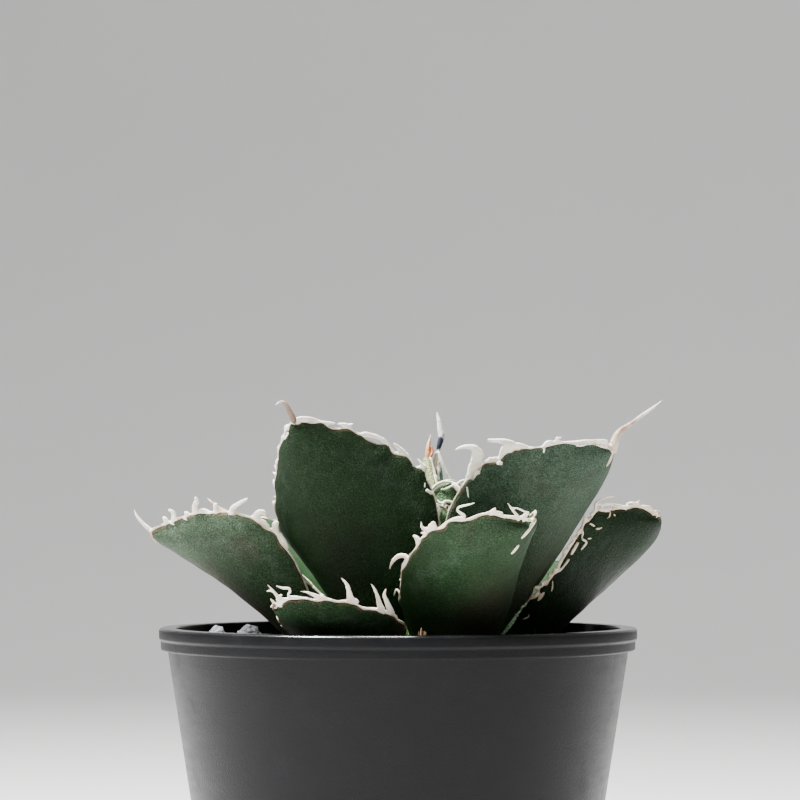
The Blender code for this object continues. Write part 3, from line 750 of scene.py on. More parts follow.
@dataclass(frozen=True)
class LeafForm:
    """The form of one leaf. Lengths in metres, pairs as (left, right) seen from outside.

    rise is the midrib's slope at the base and at the tip, gutter is the half angle of the section's
    arc at base, middle and tip. The spine is (length, tilt, turn upward, turn to the left), and heel
    is the length of its ridge along the keel. A needle, where given, is the spine's own path from the
    tip: (forward, up, left, radius) in millimetres. A separate program worked most needles out from
    points read off the photograph. A side without streaks has teeth by rule, and so have the toothed
    sides; the flaky sides have small lumps of horn by rule.
    """

    name: str
    azimuth: float
    seat: float
    length: float
    half_width: tuple[float, float]
    rise: tuple[float, float]
    gutter: tuple[float, float, float] = (54, 42, 30)
    swing: float = 0
    roll: float = 0
    waist: float = 0.55
    widest: float = 0.52
    shoulder: tuple[float, float] = (2.4, 2.4)
    point: float = 0.75
    thickness: float = 0.0065
    spine: tuple[float, float, float, float] = (0.014, 0, 15, 0)
    heel: float = 0.006
    needle: tuple[tuple[float, float, float, float], ...] = ()
    streaks: tuple[Streak, ...] = ()
    threads: tuple[Thread, ...] = ()
    toothed: tuple[Side, ...] = ()
    flaky: tuple[Side, ...] = ()

    def midrib(self, s: Array) -> tuple[Array, Array, Array, Array]:
        """The midrib at places along the leaf.

        Args:
            s: places from 0 at the base to 1 at the tip.

        Returns:
            Points, directions, side vectors and upper normals.
        """
        fine = np.linspace(0, 1, 161)
        rise = np.radians(self.rise[0] + (self.rise[1] - self.rise[0]) * fine)
        heading = np.radians(self.azimuth + self.swing * fine**2)
        along = np.stack([np.cos(rise) * np.cos(heading), np.cos(rise) * np.sin(heading), np.sin(rise)], 1)
        steps = (along[1:] + along[:-1]) / 2 * self.length / (len(fine) - 1)
        path = np.vstack([np.zeros(3), np.cumsum(steps, 0)])
        azimuth = math.radians(self.azimuth)
        start = np.array([AXIS_X + self.seat * math.cos(azimuth), self.seat * math.sin(azimuth), 0])
        start[2] = crown_height(self.seat) + GAP
        points = np.stack([np.interp(s, fine, start[k] + path[:, k]) for k in range(3)], 1)
        along = unit(np.stack([np.interp(s, fine, along[:, k]) for k in range(3)], 1))
        heading = np.radians(self.azimuth + self.swing * s**2)
        side = np.stack([-np.sin(heading), np.cos(heading), np.zeros_like(heading)], 1)
        upper = np.cross(along, side)
        roll = np.radians(self.roll * smooth(s / 0.6))[:, None]
        rolled_side = side * np.cos(roll) + upper * np.sin(roll)
        rolled_upper = upper * np.cos(roll) - side * np.sin(roll)
        return points, along, rolled_side, rolled_upper

    def half_widths(self, s: Array) -> list[Array]:
        """Half widths of the left and the right side at places along the leaf."""
        grow = self.waist + (1 - self.waist) * np.sin(np.pi / 2 * np.clip(s / self.widest, 0, 1))
        over = np.clip((s - self.widest) / (1 - self.widest), 0, 1)
        return [width * grow * (1 - over**shoulder) ** self.point
                for width, shoulder in zip(self.half_width, self.shoulder)]

    def gutter_angle(self, s: Array) -> Array:
        """Half angle of the section's arc in radians."""
        base, middle, tip = np.radians(self.gutter)
        lower = base + (middle - base) * smooth(s / 0.5)
        upper = middle + (tip - middle) * smooth((s - 0.5) / 0.5)
        return np.where(s < 0.5, lower, upper)

    def sheet(self, s: Array, u: Array, layer: int) -> tuple[Array, Array]:
        """Points of the blade.

        Args:
            s: places along.
            u: places across, from -1 at the left to 1 at the right.
            layer: 1 for the upper face, -1 for the lower face and 0 for the sheet between.

        Returns:
            Points and upper normals, by place along and place across.
        """
        points, _, side, upper = self.midrib(s)
        left_half, right_half = self.half_widths(s)
        across = np.where(u[None, :] < 0, left_half[:, None], right_half[:, None])
        angle = self.gutter_angle(s)[:, None]
        bend = angle * u[None, :]
        sideways = across / angle * np.sin(bend)
        raised = across / angle * (1 - np.cos(bend))
        normal = upper[:, None, :] * np.cos(bend)[..., None] - side[:, None, :] * np.sin(bend)[..., None]
        sheet = points[:, None, :] + side[:, None, :] * sideways[..., None]
        sheet = sheet + upper[:, None, :] * raised[..., None]
        fullness = np.sqrt(np.minimum(left_half, right_half) / min(self.half_width))
        full = (self.thickness * (1 - 0.5 * smooth(s)) * fullness)[:, None]
        if layer > 0:
            lift = BLADE_EDGE + 0.25 * full * (1 - np.abs(u) ** 2)
        elif layer < 0:
            lift = -BLADE_EDGE - 0.75 * full * (1 - np.abs(u) ** 1.8)
        else:
            lift = np.zeros_like(across)
        return sheet + normal * lift[..., None], normal

    def margin(self, s: Array, side: Side) -> tuple[Array, Array, Array]:
        """The blade's edge: points, directions away from the blade and upper normals."""
        u = np.array([float(side.value)])
        edge, normal = self.sheet(s, u, 0)
        step = 0.004
        ahead = self.sheet(np.minimum(s + step, 1.0), u, 0)[0]
        behind = self.sheet(np.maximum(s - step, 0.0), u, 0)[0]
        tangent = unit((ahead - behind)[:, 0]) * -side.value
        outward = unit(np.cross(tangent, normal[:, 0]))
        return edge[:, 0], outward, unit(np.cross(outward, tangent))


# The six leaves that the photograph shows. Their numbers come from a fit to lines read off it.
FRONT_RIGHT = LeafForm(
    "leaf_01", 325.3, 0.0172, 0.0745, (0.0383, 0.0185), (53.8, 51.1), (45.1, 52.4, 29.7),
    swing=4.5, roll=-1.5, waist=0.207, widest=0.624, shoulder=(2.83, 2.07), point=0.715, thickness=0.0058,
    heel=0.005,
    needle=((-1, -1.1, 0.3, 1.6), (1.5, 0.1, 0.4, 1.6), (3.9, 1, 0.7, 1.3), (6, 1.1, 1.3, 1.0),
            (9.2, 0.3, 2.8, 0.75),
            (12.7, -0.3, 4.2, 0.60), (16, -1, 5.7, 0.46), (19.9, -1.6, 7.3, 0.18)),
    streaks=(
        left((0.996, 2, 0.66), (0.987, 1.9, 0.51), (0.973, 1.6, 0.48), (0.956, 1.4, 0.3)),
        left((0.999, 0.5, 0.8), (0.985, 0.6, 0.95), (0.965, 0.5, 0.9), (0.945, 0.6, 0.8),
             (0.925, 0.5, 0.6)),
        left((0.951, 1.3, 0.39), (0.936, 1.3, 0.42), (0.919, 1.8, 0.47)),
        left((0.938, 1.4, 0.59), (0.93, 2.4, 0.44), (0.929, 3.3, 0.36), (0.937, 3.2, 0.27)),
        left((0.902, -0.5, 0.3), (0.907, 1.2, 0.59), (0.915, 2.2, 0.59), (0.928, 1.7, 0.36)),
        left((0.847, 2.6, 1), (0.83, 4.4, 1.29), (0.819, 6, 0.85), (0.803, 7.2, 0.59), (0.786, 8.3, 0.53)),
        left((0.829, 3.7, 1), (0.848, 3.2, 0.94), (0.862, 2.5, 0.65), (0.874, 1.6, 0.24)),
        left((0.788, 0.1, 0.65), (0.802, 2.1, 0.83), (0.816, 3.6, 1.06), (0.826, 4.7, 0.88)),
        left((0.794, -0.1, 0.47), (0.773, 0.6, 0.47), (0.751, 1.5, 0.3)),
        left((0.792, 0.9, 0.41), (0.781, 2.1, 0.35), (0.768, 2.2, 0.24)),
        left((0.697, 1.2, 2.37), (0.727, 3.5, 1.95), (0.746, 6, 1.59), (0.748, 8.2, 1.06),
             (0.735, 9.9, 0.68), (0.721, 10.7, 0.47), (0.707, 11, 0.15)),
        left((0.709, 3.6, 0.89), (0.676, 2.5, 0.53), (0.645, 1.6, 0.33)),
        left((0.736, 2.4, 0.94), (0.752, 2, 0.65), (0.771, 2.8, 0.29)),
        left((0.647, 1.4, 0.36), (0.624, -0.5, 0.33), (0.6, -2.2, 0.21)),
    ))

FRONT_LEFT = LeafForm(
    "leaf_03", 222.4, 0.0278, 0.0796, (0.0193, 0.033), (70.3, 48.3), (56.5, 40.8, 33), swing=33.9, roll=20.5,
    waist=0.257, widest=0.522, shoulder=(1.02, 1.57), point=0.917, thickness=0.0066, toothed=(Side.LEFT,),
    heel=0,
    needle=((0.3, 0.2, 0.5, 1.06), (1.8, 1.3, 0.3, 0.95), (3.4, 2.6, -0.2, 0.83), (4.9, 3.7, -0.7, 0.71),
            (5.5, 4.3, -1.7, 0.53), (5.4, 4.3, -2.8, 0.38), (5, 4, -3.8, 0.15)),
    streaks=(
        right((0.994, 1.5, 0.89), (0.978, 2.2, 0.77), (0.959, 2.4, 0.59), (0.938, 2.3, 0.3)),
        right((0.989, 1.1, 0.59), (0.978, 0.5, 0.53)),
        right((0.937, 2, 0.36), (0.92, 2.4, 0.39), (0.899, 2.6, 0.27)),
        right((0.857, 2, 0.78), (0.868, 3, 0.72), (0.883, 3, 0.42), (0.893, 2.7, 0.24)),
        right((0.861, 2.4, 0.72), (0.864, 3.3, 0.54), (0.853, 4.1, 0.24)),
        right((0.826, 1.7, 0.3), (0.812, 2.6, 0.66), (0.796, 2.8, 0.69), (0.775, 3.1, 0.6),
              (0.751, 3.1, 0.48), (0.739, 2.8, 0.24)),
        right((0.741, 2.5, 0.36), (0.73, 2.1, 0.42), (0.719, 1.5, 0.27)),
        right((0.659, 2.3, 0.6), (0.687, 3, 0.72), (0.708, 3.4, 0.54), (0.724, 3.7, 0.27)),
        right((0.673, 2.3, 0.6), (0.694, 1.9, 0.48), (0.714, 1.1, 0.24)),
        right((0.665, 2.2, 0.36), (0.646, 2.4, 0.27)),
        right((0.598, 3.4, 0.67), (0.614, 3.6, 0.48), (0.634, 4, 0.21)),
        right((0.598, 2.8, 0.79), (0.612, 2, 0.73), (0.618, 0.8, 0.3)),
        right((0.6, 2, 0.36), (0.575, 0.9, 0.3), (0.55, -0.8, 0.27)),
        right((0.541, -0.8, 0.42), (0.516, 0.4, 0.42), (0.495, 1.4, 0.3)),
        right((0.44, 1.1, 0.48), (0.456, 1.6, 0.58), (0.475, 1.8, 0.3)),
        left((0.987, 0.3, 1.06), (0.982, 1.3, 0.71), (0.973, 2.1, 0.24)),
        left((0.972, 0.1, 0.36), (0.929, 0.4, 0.24), (0.884, 0.7, 0.21)),
        left((0.846, 0.5, 0.48), (0.825, 1.1, 0.72), (0.804, 1.2, 0.57), (0.787, 1, 0.24)),
        left((0.661, 0.8, 0.27), (0.643, 1.1, 0.4), (0.624, 1.1, 0.21)),
    ))

RIGHT_LOW = LeafForm(
    "leaf_04", 2.1, 0.0266, 0.0592, (0.023, 0.0256), (43.2, 44), (59.9, 26.9, 34.5), swing=-28.8, roll=-14.4,
    waist=0.585, widest=0.585, shoulder=(3.53, 3.46), point=0.788, thickness=0.0063,
    heel=0, flaky=(Side.LEFT,),
    needle=((-0.4, 0, 0, 0.7), (0.4, 0.4, 0.5, 0.6), (1.0, 1.1, 1.3, 0.4), (1.3, 1.6, 2.2, 0.2)),
    streaks=(
        left((0.94, 0.5, 0.56), (0.925, 1.7, 0.47), (0.891, 2.6, 0.37), (0.855, 3.3, 0.37),
             (0.82, 4.8, 0.25)),
        left((0.823, 4.4, 0.37), (0.837, 5.2, 0.31), (0.858, 5.4, 0.28), (0.879, 5.4, 0.28),
             (0.898, 5.2, 0.19)),
        left((0.973, 2.1, 0.5), (0.963, 2.9, 0.41), (0.95, 3.1, 0.37), (0.938, 2.5, 0.22)),
        left((0.967, 1.2, 0.62), (0.977, 2.2, 0.78), (0.987, 2.5, 0.66), (0.994, 2.1, 0.31)),
        left((0.995, 1.6, 0.31), (0.999, 2.3, 0.28)),
        left((0.881, 0.6, 0.43), (0.85, 1.1, 0.59), (0.814, 1.9, 0.59), (0.788, 2.5, 0.25)),
        left((0.84, -1, 0.31), (0.871, -1, 0.34), (0.885, 0.3, 0.31)),
        left((0.895, -0.2, 0.31), (0.915, -2, 0.4), (0.922, -0.7, 0.31)),
        left((0.766, -2, 0.28), (0.804, -3, 0.28), (0.833, -2.4, 0.28)),
        left((0.736, 1.7, 0.4), (0.76, 0.2, 0.37), (0.773, -1.4, 0.28)),
        left((0.735, 0.9, 0.56), (0.698, 0.4, 0.43), (0.66, -0.4, 0.28)),
        left((0.679, -1.9, 0.25), (0.698, -3, 0.25)),
        left((0.658, -0.5, 0.34), (0.656, -2.4, 0.34), (0.601, -2.4, 0.25)),
        left((0.63, -0, 0.34), (0.585, -0.2, 0.49), (0.542, -0.4, 0.34)),
        left((0.518, -0.4, 0.31), (0.457, -0, 0.34), (0.396, 0.5, 0.25)),
        left((0.376, 1, 0.31), (0.31, 0.4, 0.59), (0.25, -0, 0.56), (0.207, 0.2, 0.25)),
        left((0.299, 3.8, 0.18), (0.262, 3.1, 0.25), (0.221, 2.2, 0.22)),
        left((0.366, 0.4, 0.25), (0.333, -1, 0.28), (0.296, -1.9, 0.19)),
        left((0.21, 2.3, 0.28), (0.199, 0.3, 0.31), (0.166, -0.8, 0.22)),
        left((0.165, 0.7, 0.25), (0.135, -0.8, 0.34), (0.101, 0.3, 0.34), (0.066, 1.1, 0.22)),
        left((0.153, 3.2, 0.19), (0.169, 1.7, 0.28), (0.138, 0.8, 0.28)),
        left((0.104, 3.2, 0.28), (0.07, 3.3, 0.34), (0.033, 2.5, 0.4), (0.02, 2.5, 0.28)),
    ))

FRONT_MIDDLE = LeafForm(
    "leaf_06", 283.3, 0.0297, 0.0643, (0.0248, 0.0188), (42.4, 33.6), (45.8, 59.4, 47.9),
    swing=25.5, roll=14.2, waist=0.608, widest=0.559, shoulder=(3.71, 1.23), point=0.45, thickness=0.006,
    heel=0,
    needle=((0.2, 0.1, 0.2, 0.95), (0.7, -0.3, 0.6, 0.9), (0.9, -0.8, 0.9, 0.6)),
    threads=(
        Thread(((0.2, -0.3, 0.8, 0.6), (-0.2, -0.8, 0.4, 0.63), (-0.8, -1.3, -0.5, 0.6),
               (-1.6, -1.9, -1.6, 0.6),
                (-3, -2.2, -2.1, 0.54), (-4.6, -2.3, -2.3, 0.37))),
        Thread(((-7.6, -2.8, -1.2, 0.34), (-9, -2.9, -1.2, 0.52), (-10.7, -3, -1.2, 0.55),
               (-11.7, -3.2, -1.5, 0.32))),
    ),
    streaks=(
        left((0.471, 1.3, 0.24), (0.509, 1.6, 0.47), (0.555, 1.3, 0.67), (0.57, 2.2, 0.7),
             (0.544, 3.8, 0.64), (0.498, 4.8, 0.53), (0.456, 5.3, 0.35), (0.412, 5.5, 0.15)),
        left((0.659, 0.6, 0.26), (0.689, 1.4, 0.52), (0.71, 2.4, 0.84), (0.71, 4.1, 0.23)),
        left((0.796, 1.9, 0.86), (0.816, 2.8, 1.08), (0.831, 3.9, 0.51)),
        left((0.795, 2.2, 0.97), (0.78, 3.3, 0.69), (0.78, 4.5, 0.37), (0.794, 5.8, 0.14)),
        left((0.816, 1, 0.29), (0.782, 1.7, 0.34), (0.751, 3.1, 0.23)),
        left((0.738, 1.6, 0.23), (0.761, 2.2, 0.34)),
        left((0.82, 1, 0.29), (0.849, 1.6, 0.46), (0.873, 2.2, 0.34)),
        left((0.881, 2.5, 0.28), (0.898, 2.5, 0.54), (0.914, 2.3, 0.57), (0.921, 2.9, 0.45),
             (0.915, 3.9, 0.4), (0.911, 5, 0.34), (0.915, 6.1, 0.31), (0.927, 6.4, 0.28),
             (0.937, 6.5, 0.25), (0.946, 6.9, 0.14)),
        left((0.968, 2, 0.74), (0.972, 3.2, 0.85), (0.974, 4.5, 0.25)),
        left((0.961, 2.5, 0.28), (0.969, 2.6, 0.62), (0.977, 2.5, 0.62), (0.985, 2.5, 0.14)),
        left((0.997, 1, 0.46), (0.995, 2.4, 0.4), (0.99, 4.5, 0.31), (0.985, 6.6, 0.17)),
        left((0.999, 3.9, 0.28), (0.998, 4, 0.26), (0.994, 4.9, 0.23), (0.989, 5, 0.17)),
        left((0.986, 1.3, 0.31), (0.993, 1.3, 0.48), (0.998, 1.4, 0.48), (0.999, 3.7, 0.57)),
        left((0.365, 0.5, 0.3), (0.387, 0.8, 0.42), (0.395, 1.6, 0.24)),
        left((0.239, 2.1, 0.24), (0.284, 1.6, 0.3), (0.3, 2.8, 0.27), (0.243, 4.2, 0.18)),
    ))

LEFT_HIGH = LeafForm(
    "leaf_08", 186.4, 0.0359, 0.0662, (0.0217, 0.0307), (50.2, 21.3), (36.6, 55.3, 49.9), swing=7.2, roll=4.2,
    waist=0.218, widest=0.669, shoulder=(1.85, 1.66), point=0.902, thickness=0.0065,
    heel=0.003,
    needle=((-0.3, 0.2, 0.1, 0.93), (1.6, 1, -0.1, 0.81), (3.2, 1.6, -0.3, 0.68), (5.8, 3.1, -0.5, 0.5),
            (7.5, 4.8, -0.5, 0.16)),
    streaks=(
        right((0.96, 0.6, 0.83), (0.952, 2.3, 0.74), (0.955, 3.4, 0.43)),
        right((0.94, 0.3, 0.92), (0.924, 3, 0.74), (0.922, 4.4, 0.61), (0.928, 5.2, 0.37)),
        right((0.897, 0.3, 0.92), (0.888, 2.8, 0.67)),
        right((0.867, 1.3, 0.92), (0.854, 4.4, 0.79), (0.844, 5.6, 0.67), (0.843, 7.1, 0.36)),
        right((0.859, 1.5, 0.61), (0.84, 1.9, 0.91), (0.823, 1.3, 0.61)),
        right((0.799, 0.8, 0.73), (0.795, 3.8, 0.52), (0.789, 3.4, 0.33)),
        right((0.745, 1, 0.91), (0.739, 2.7, 0.73), (0.716, 4.9, 0.6), (0.697, 6.8, 0.39)),
        right((0.644, 1.3, 0.91), (0.662, 2.9, 0.79), (0.65, 4.8, 0.73), (0.623, 4.6, 0.42)),
        right((0.644, 1.4, 0.48), (0.623, 2.4, 0.45), (0.589, 1.9, 0.36)),
        right((0.556, 2, 0.91), (0.578, 3.9, 0.91), (0.578, 5.4, 0.45)),
        right((0.564, 1.2, 0.49), (0.542, 2.5, 0.46), (0.502, 2.2, 0.4), (0.471, 1.5, 0.27)),
        right((0.536, 1.2, 0.39), (0.514, 1.7, 0.36), (0.478, 1.3, 0.24)),
    ))

FRONT_LOW = LeafForm(
    "leaf_10", 235.3, 0.0382, 0.0449, (0.0162, 0.0227), (21.2, 23.4), (50, 25, 42.1), swing=-8.5, roll=3.9,
    waist=0.609, widest=0.451, shoulder=(1.02, 1.26), point=0.659, thickness=0.005,
    heel=0,
    needle=((-0.2, 0, 0, 0.75), (0.8, 0.1, 0.3, 0.7), (1.8, -0.4, 0.6, 0.5), (2.6, -1.2, 0.8, 0.25)),
    streaks=(
        right((0.989, 3.3, 0.52), (0.99, 5.1, 0.4), (0.991, 7.8, 0.29), (0.993, 10.5, 0.14)),
        right((0.991, 6.3, 0.29), (0.993, 7.6, 0.26), (0.996, 8.2, 0.17)),
        right((0.991, 3.4, 0.58), (0.982, 2.4, 0.61), (0.967, 2.4, 0.41)),
        right((0.989, 3.7, 0.4), (0.981, 4.5, 0.26)),
        right((0.967, 4.1, 0.29), (0.96, 5.2, 0.35), (0.961, 6.6, 0.32), (0.974, 7.2, 0.32),
              (0.984, 8.8, 0.17)),
        right((0.923, 2, 0.29), (0.94, 2.4, 0.46), (0.956, 2.8, 0.49), (0.969, 3.5, 0.26)),
        right((0.969, 1.6, 0.35), (0.989, 1.2, 0.32), (0.998, 1.2, 0.38), (0.999, 2.4, 0.35),
              (0.999, 3.5, 0.29), (0.999, 4.4, 0.17)),
        right((0.827, 1.9, 0.38), (0.855, 2.4, 0.64), (0.884, 3.2, 0.49), (0.905, 4.2, 0.29),
              (0.93, 4.8, 0.14)),
        right((0.718, 2.5, 1.16), (0.737, 5.1, 0.81), (0.755, 7.7, 0.61), (0.773, 9.6, 0.37),
              (0.794, 10.9, 0.14)),
        right((0.725, 3, 0.64), (0.703, 3.4, 0.64), (0.681, 2.7, 0.29)),
        right((0.545, 2, 0.99), (0.587, 4.9, 0.73), (0.619, 7.6, 0.52), (0.649, 10, 0.35),
              (0.675, 11.6, 0.14)),
        right((0.493, 2.4, 0.93), (0.541, 5.3, 0.76), (0.579, 7.7, 0.58), (0.596, 9.1, 0.49),
              (0.606, 11.6, 0.17)),
        right((0.503, 3.2, 0.52), (0.468, 2.2, 0.35), (0.422, 1.3, 0.21)),
        right((0.588, 2.2, 0.41), (0.562, 1.9, 0.47), (0.522, 1.6, 0.41)),
    ))

# The leaves behind are hidden in the photograph, so their sizes are guesses.
BACK = (
    LeafForm("leaf_02", 96, 0.020, 0.078, (0.0280, 0.0280), (52, 24), (50, 40, 28), waist=0.40),
    LeafForm("leaf_05", 145, 0.0265, 0.069, (0.0185, 0.0185), (46, 27), (50, 40, 28), waist=0.38),
    LeafForm("leaf_07", 60, 0.032, 0.068, (0.0250, 0.0250), (30, 16), (46, 36, 26), waist=0.38),
    LeafForm("leaf_09", 121, 0.036, 0.060, (0.0230, 0.0230), (24, 8), (42, 36, 28), waist=0.38),
)
HEART = (
    LeafForm(
        "bud_1", 20, 0.0012, 0.053, (0.0036, 0.0036), (90, 91), (40, 36, 30), waist=0.7, widest=0.4,
        shoulder=(1.6, 1.6), thickness=0.0024, heel=0,
        needle=((-0.9, 0.2, 0.1, 1.07), (2.3, 0.1, -0.1, 0.95), (4.8, 0, -0.2, 0.79),
                (6.7, -0.4, -0.5, 1.01),
                (8.9, -1, -0.8, 1.16), (11.4, -0.6, -0.8, 1.08), (14.3, -0.1, -0.8, 0.72),
                (16.9, 0.4, -0.7, 0.22)),
        threads=(
            Thread(((4.2, 1, -0.8, 0.41), (2, 1.4, -0.5, 0.54), (-0.6, 1.5, -0.4, 0.44),
                   (-3.1, 1.6, -0.2, 0.28),
                    (-5.6, 1.7, 0, 0.22))),
            Thread(((4.1, 0.1, -1.1, 0.51), (1.6, -0.6, -1.3, 0.66), (-0.9, -1.5, -1.5, 0.6),
                    (-3.5, -2.7, -1.8, 0.51), (-5.4, -3.8, -2.1, 0.44))),
            Thread(((1, 0.4, -0.9, 0.44), (-1.5, -0.1, -0.9, 0.35), (-3.4, -0.3, -0.9, 0.28))),
        )),
    LeafForm(
        "bud_2", 200, 0.0050, 0.056, (0.0084, 0.0084), (90, 94), (60, 50, 40), waist=0.8, widest=0.40,
        shoulder=(1.6, 1.6), thickness=0.0026, heel=0,
        needle=((-2.3, 0.4, 0, 1.04), (-0.1, 0.2, 0.1, 1.1), (1.8, 0.1, 0.2, 0.98), (3.4, 0.1, 0.3, 0.76),
                (5, 0.3, 0.5, 0.47), (6.9, 0.5, 0.7, 0.14)),
        threads=(
            Thread(((3.1, 0.8, 1.2, 0.25), (1.6, 1.3, 1.2, 0.41), (0.1, 0.9, 1, 0.54), (-0.9, 0, 0.6, 0.5),
                    (-2.1, -0.9, 0.1, 0.32)), of_spine=True),
            Thread(((-2.5, -1.5, 1.5, 0.22), (-5.6, -1.6, 2, 0.25), (-8.8, -1.5, 2.8, 0.25),
                   (-11.3, -1.3, 3.4, 0.31),
                    (-12.2, -0.5, 4.4, 0.31), (-13.1, 0.2, 5.2, 0.25))),
        )),
    LeafForm(
        "bud_3", 288, 0.0095, 0.048, (0.0086, 0.0086), (88, 82), (56, 48, 36), waist=0.72, widest=0.6,
        shoulder=(3.0, 3.0), thickness=0.0028, heel=0,
        needle=((-0.9, -1.4, 0.1, 0.62), (-1.7, -1.8, 1.3, 0.9), (-2.9, -2.3, 2.5, 0.96),
                (-4.1, -2.8, 3.5, 0.68),
                (-5, -3, 4, 0.31)),
        threads=(
            Thread(((-5.4, 0.2, -5.8, 0.31), (-3.3, 0.5, -5.7, 0.5), (-1.9, 0.3, -5, 0.56),
                   (-0.7, -0.3, -3.5, 0.5),
                    (-0.1, -0.9, -1.8, 0.43), (-0.4, -1.3, 0.1, 0.43), (-0.9, -1.2, 1.8, 0.47),
                    (0, -1.4, 3, 0.47),
                    (0.1, -1.4, 4.3, 0.43), (-1.5, -1, 5, 0.37), (-4.4, 0, 5.3, 0.28))),
            Thread(((-2.7, -0.7, -3.4, 0.25), (-2.3, -1.5, -1.9, 0.31), (-1.4, -1.8, 0, 0.34),
                   (-0.7, -1.3, 2.1, 0.28))),
            Thread(((-5.9, -0.9, -4.4, 0.25), (-6.8, -1.6, -3.3, 0.37), (-6.2, -2, -1.8, 0.5),
                   (-6.4, -2.3, -0.3, 0.5),
                    (-7.1, -2.3, 0.9, 0.4), (-8.5, -2.4, 0.3, 0.47), (-10.1, -2.5, -0.5, 0.4),
                    (-12, -2.5, -1.2, 0.37))),
            Thread(((-6.6, -1.9, -2.4, 0.43), (-8, -1.9, -2.9, 0.5), (-9.2, -1.9, -3.1, 0.4),
                   (-10.4, -1.6, -4, 0.43))),
            Thread(((-7.2, -2.2, -1.5, 0.34), (-8.4, -2.1, -2.1, 0.46), (-9.8, -2.3, -1.8, 0.5),
                   (-8.7, -2.3, -1, 0.37),
                    (-7.3, -2.3, -0.8, 0.25))),
            Thread(((-6.7, -2.3, 0.4, 0.25), (-5.9, -2, 2.1, 0.4), (-5.4, -0.9, 4.4, 0.4),
                   (-4.7, -0.1, 6.3, 0.25))),
        )),
    LeafForm("bud_4", 96, 0.0100, 0.048, (0.0140, 0.0140), (86, 76), (70, 50, 36), waist=0.68, widest=0.5,
             thickness=0.0034, spine=(0.008, 0, 12, 0)),
    LeafForm(
        "bud_5", 267, 0.0145, 0.042, (0.0095, 0.0095), (86, 72), (50, 44, 36), waist=0.62, widest=0.55,
        shoulder=(2.6, 2.6), thickness=0.0026, heel=0,
        needle=((-0.4, 0, 0, 0.7), (1, 0.2, -0.3, 0.5), (2.4, 0.7, -0.8, 0.35), (3.4, 1.4, -1.2, 0.14)),
        threads=(
            Thread(((-1.6, -1.5, 1.5, 0.28), (-3.5, -1.8, 1.3, 0.37), (-5, -1.9, 1.9, 0.31),
                   (-6.6, -2, 2.2, 0.28))),
            Thread(((-3.9, -0.2, 4.8, 0.31), (-5, -0.9, 4.3, 0.37), (-6.4, -1.4, 3.9, 0.28),
                   (-7.2, -2, 2.3, 0.28))),
        )),
)


@dataclass
class EdgeWork:
    """The overlapping tubes of a horny edge in millimetres, with marks that its colours are read from."""

    points: list[Array]
    faces: Faces
    marks: list[Array]

    def add(self, centers: Array, broad: Array, thin: Array, outward: Array,
            share: Array, strand: Strand, sides: int = 10) -> None:
        """Adds one tube.

        Args:
            centers: the tube's middle line.
            broad: the first half axis of each section.
            thin: the second half axis of each section.
            outward: directions away from the blade.
            share: the place from root to tip at each section.
            strand: what the tube is.
            sides: points around a section.
        """
        turn = np.linspace(0, 2 * np.pi, sides, endpoint=False)[None, :, None]
        rings = centers[:, None, :] + broad[:, None, :] * np.cos(turn) + thin[:, None, :] * np.sin(turn)
        first = sum(len(part) for part in self.points)
        self.points.append(rings.reshape(-1, 3) / MM)
        self.faces += tube_faces(len(centers), sides, first)
        kind = np.full((len(centers), 1), float(strand.value))
        self.marks.append(np.hstack([centers / MM, outward, share[:, None], kind]))

    def fused(self, name: str, voxel: float) -> bpy.types.Object:
        """One closed body with soft joins between its tubes, and the attributes that its colours need.

        Args:
            name: the body's name.
            voxel: the size of the grid that joins the tubes, in millimetres.

        Returns:
            The body, in metres.
        """
        source = make_object(name + "_tubes", np.vstack(self.points), self.faces)
        join = source.modifiers.new("join", "REMESH")
        join.mode = "VOXEL"
        join.voxel_size = voxel
        graph = bpy.context.evaluated_depsgraph_get()
        mesh = bpy.data.meshes.new_from_object(source.evaluated_get(graph))
        bpy.data.objects.remove(source)
        work = bmesh.new()
        work.from_mesh(mesh)
        for _ in range(2):
            bmesh.ops.smooth_vert(work, verts=work.verts, factor=0.5, use_axis_x=True, use_axis_y=True,
                                  use_axis_z=True)
        work.to_mesh(mesh)
        work.free()
        mesh.name = name
        body = bpy.data.objects.new(name, mesh)
        bpy.context.scene.collection.objects.link(body)
        self._paint(body)
        mesh.transform(Matrix.Scale(MM, 4))
        return body

    def _paint(self, body: bpy.types.Object) -> None:
        """Writes share, spine, junction and bare margin at each point, from the nearest marks."""
        marks = np.vstack(self.marks)
        points = np.empty(len(body.data.vertices) * 3, np.float32)
        body.data.vertices.foreach_get("co", points)
        points = points.reshape(-1, 3)
        nearest = np.empty(len(points), int)
        for first in range(0, len(points), POINTS_AT_ONCE):
            part = points[first:first + POINTS_AT_ONCE]
            apart = ((part[:, None, :] - marks[None, :, :3]) ** 2).sum(2)
            nearest[first:first + POINTS_AT_ONCE] = apart.argmin(1)
        tips = marks[marks[:, 7] != Strand.MARGIN.value, :3]
        bare = np.ones(len(points))
        for first in range(0, len(points), POINTS_AT_ONCE):
            part = points[first:first + POINTS_AT_ONCE]
            apart = np.sqrt(((part[:, None, :] - tips[None]) ** 2).sum(2).min(1))
            bare[first:first + POINTS_AT_ONCE] = smooth((apart - 0.7) / 1.1)
        mark = marks[nearest]
        inward = -((points - mark[:, :3]) * mark[:, 3:6]).sum(1)
        on_margin = mark[:, 7] == Strand.MARGIN.value
        root = smooth((0.10 - mark[:, 6]) / 0.10) * 0.6
        paint(body, bare=np.where(on_margin, bare, 0), share=np.where(on_margin, 0, mark[:, 6]),
              spine=(mark[:, 7] == Strand.SPINE.value).astype(float),
              junction=np.where(on_margin, smooth((inward + 0.10) / 0.4), root))


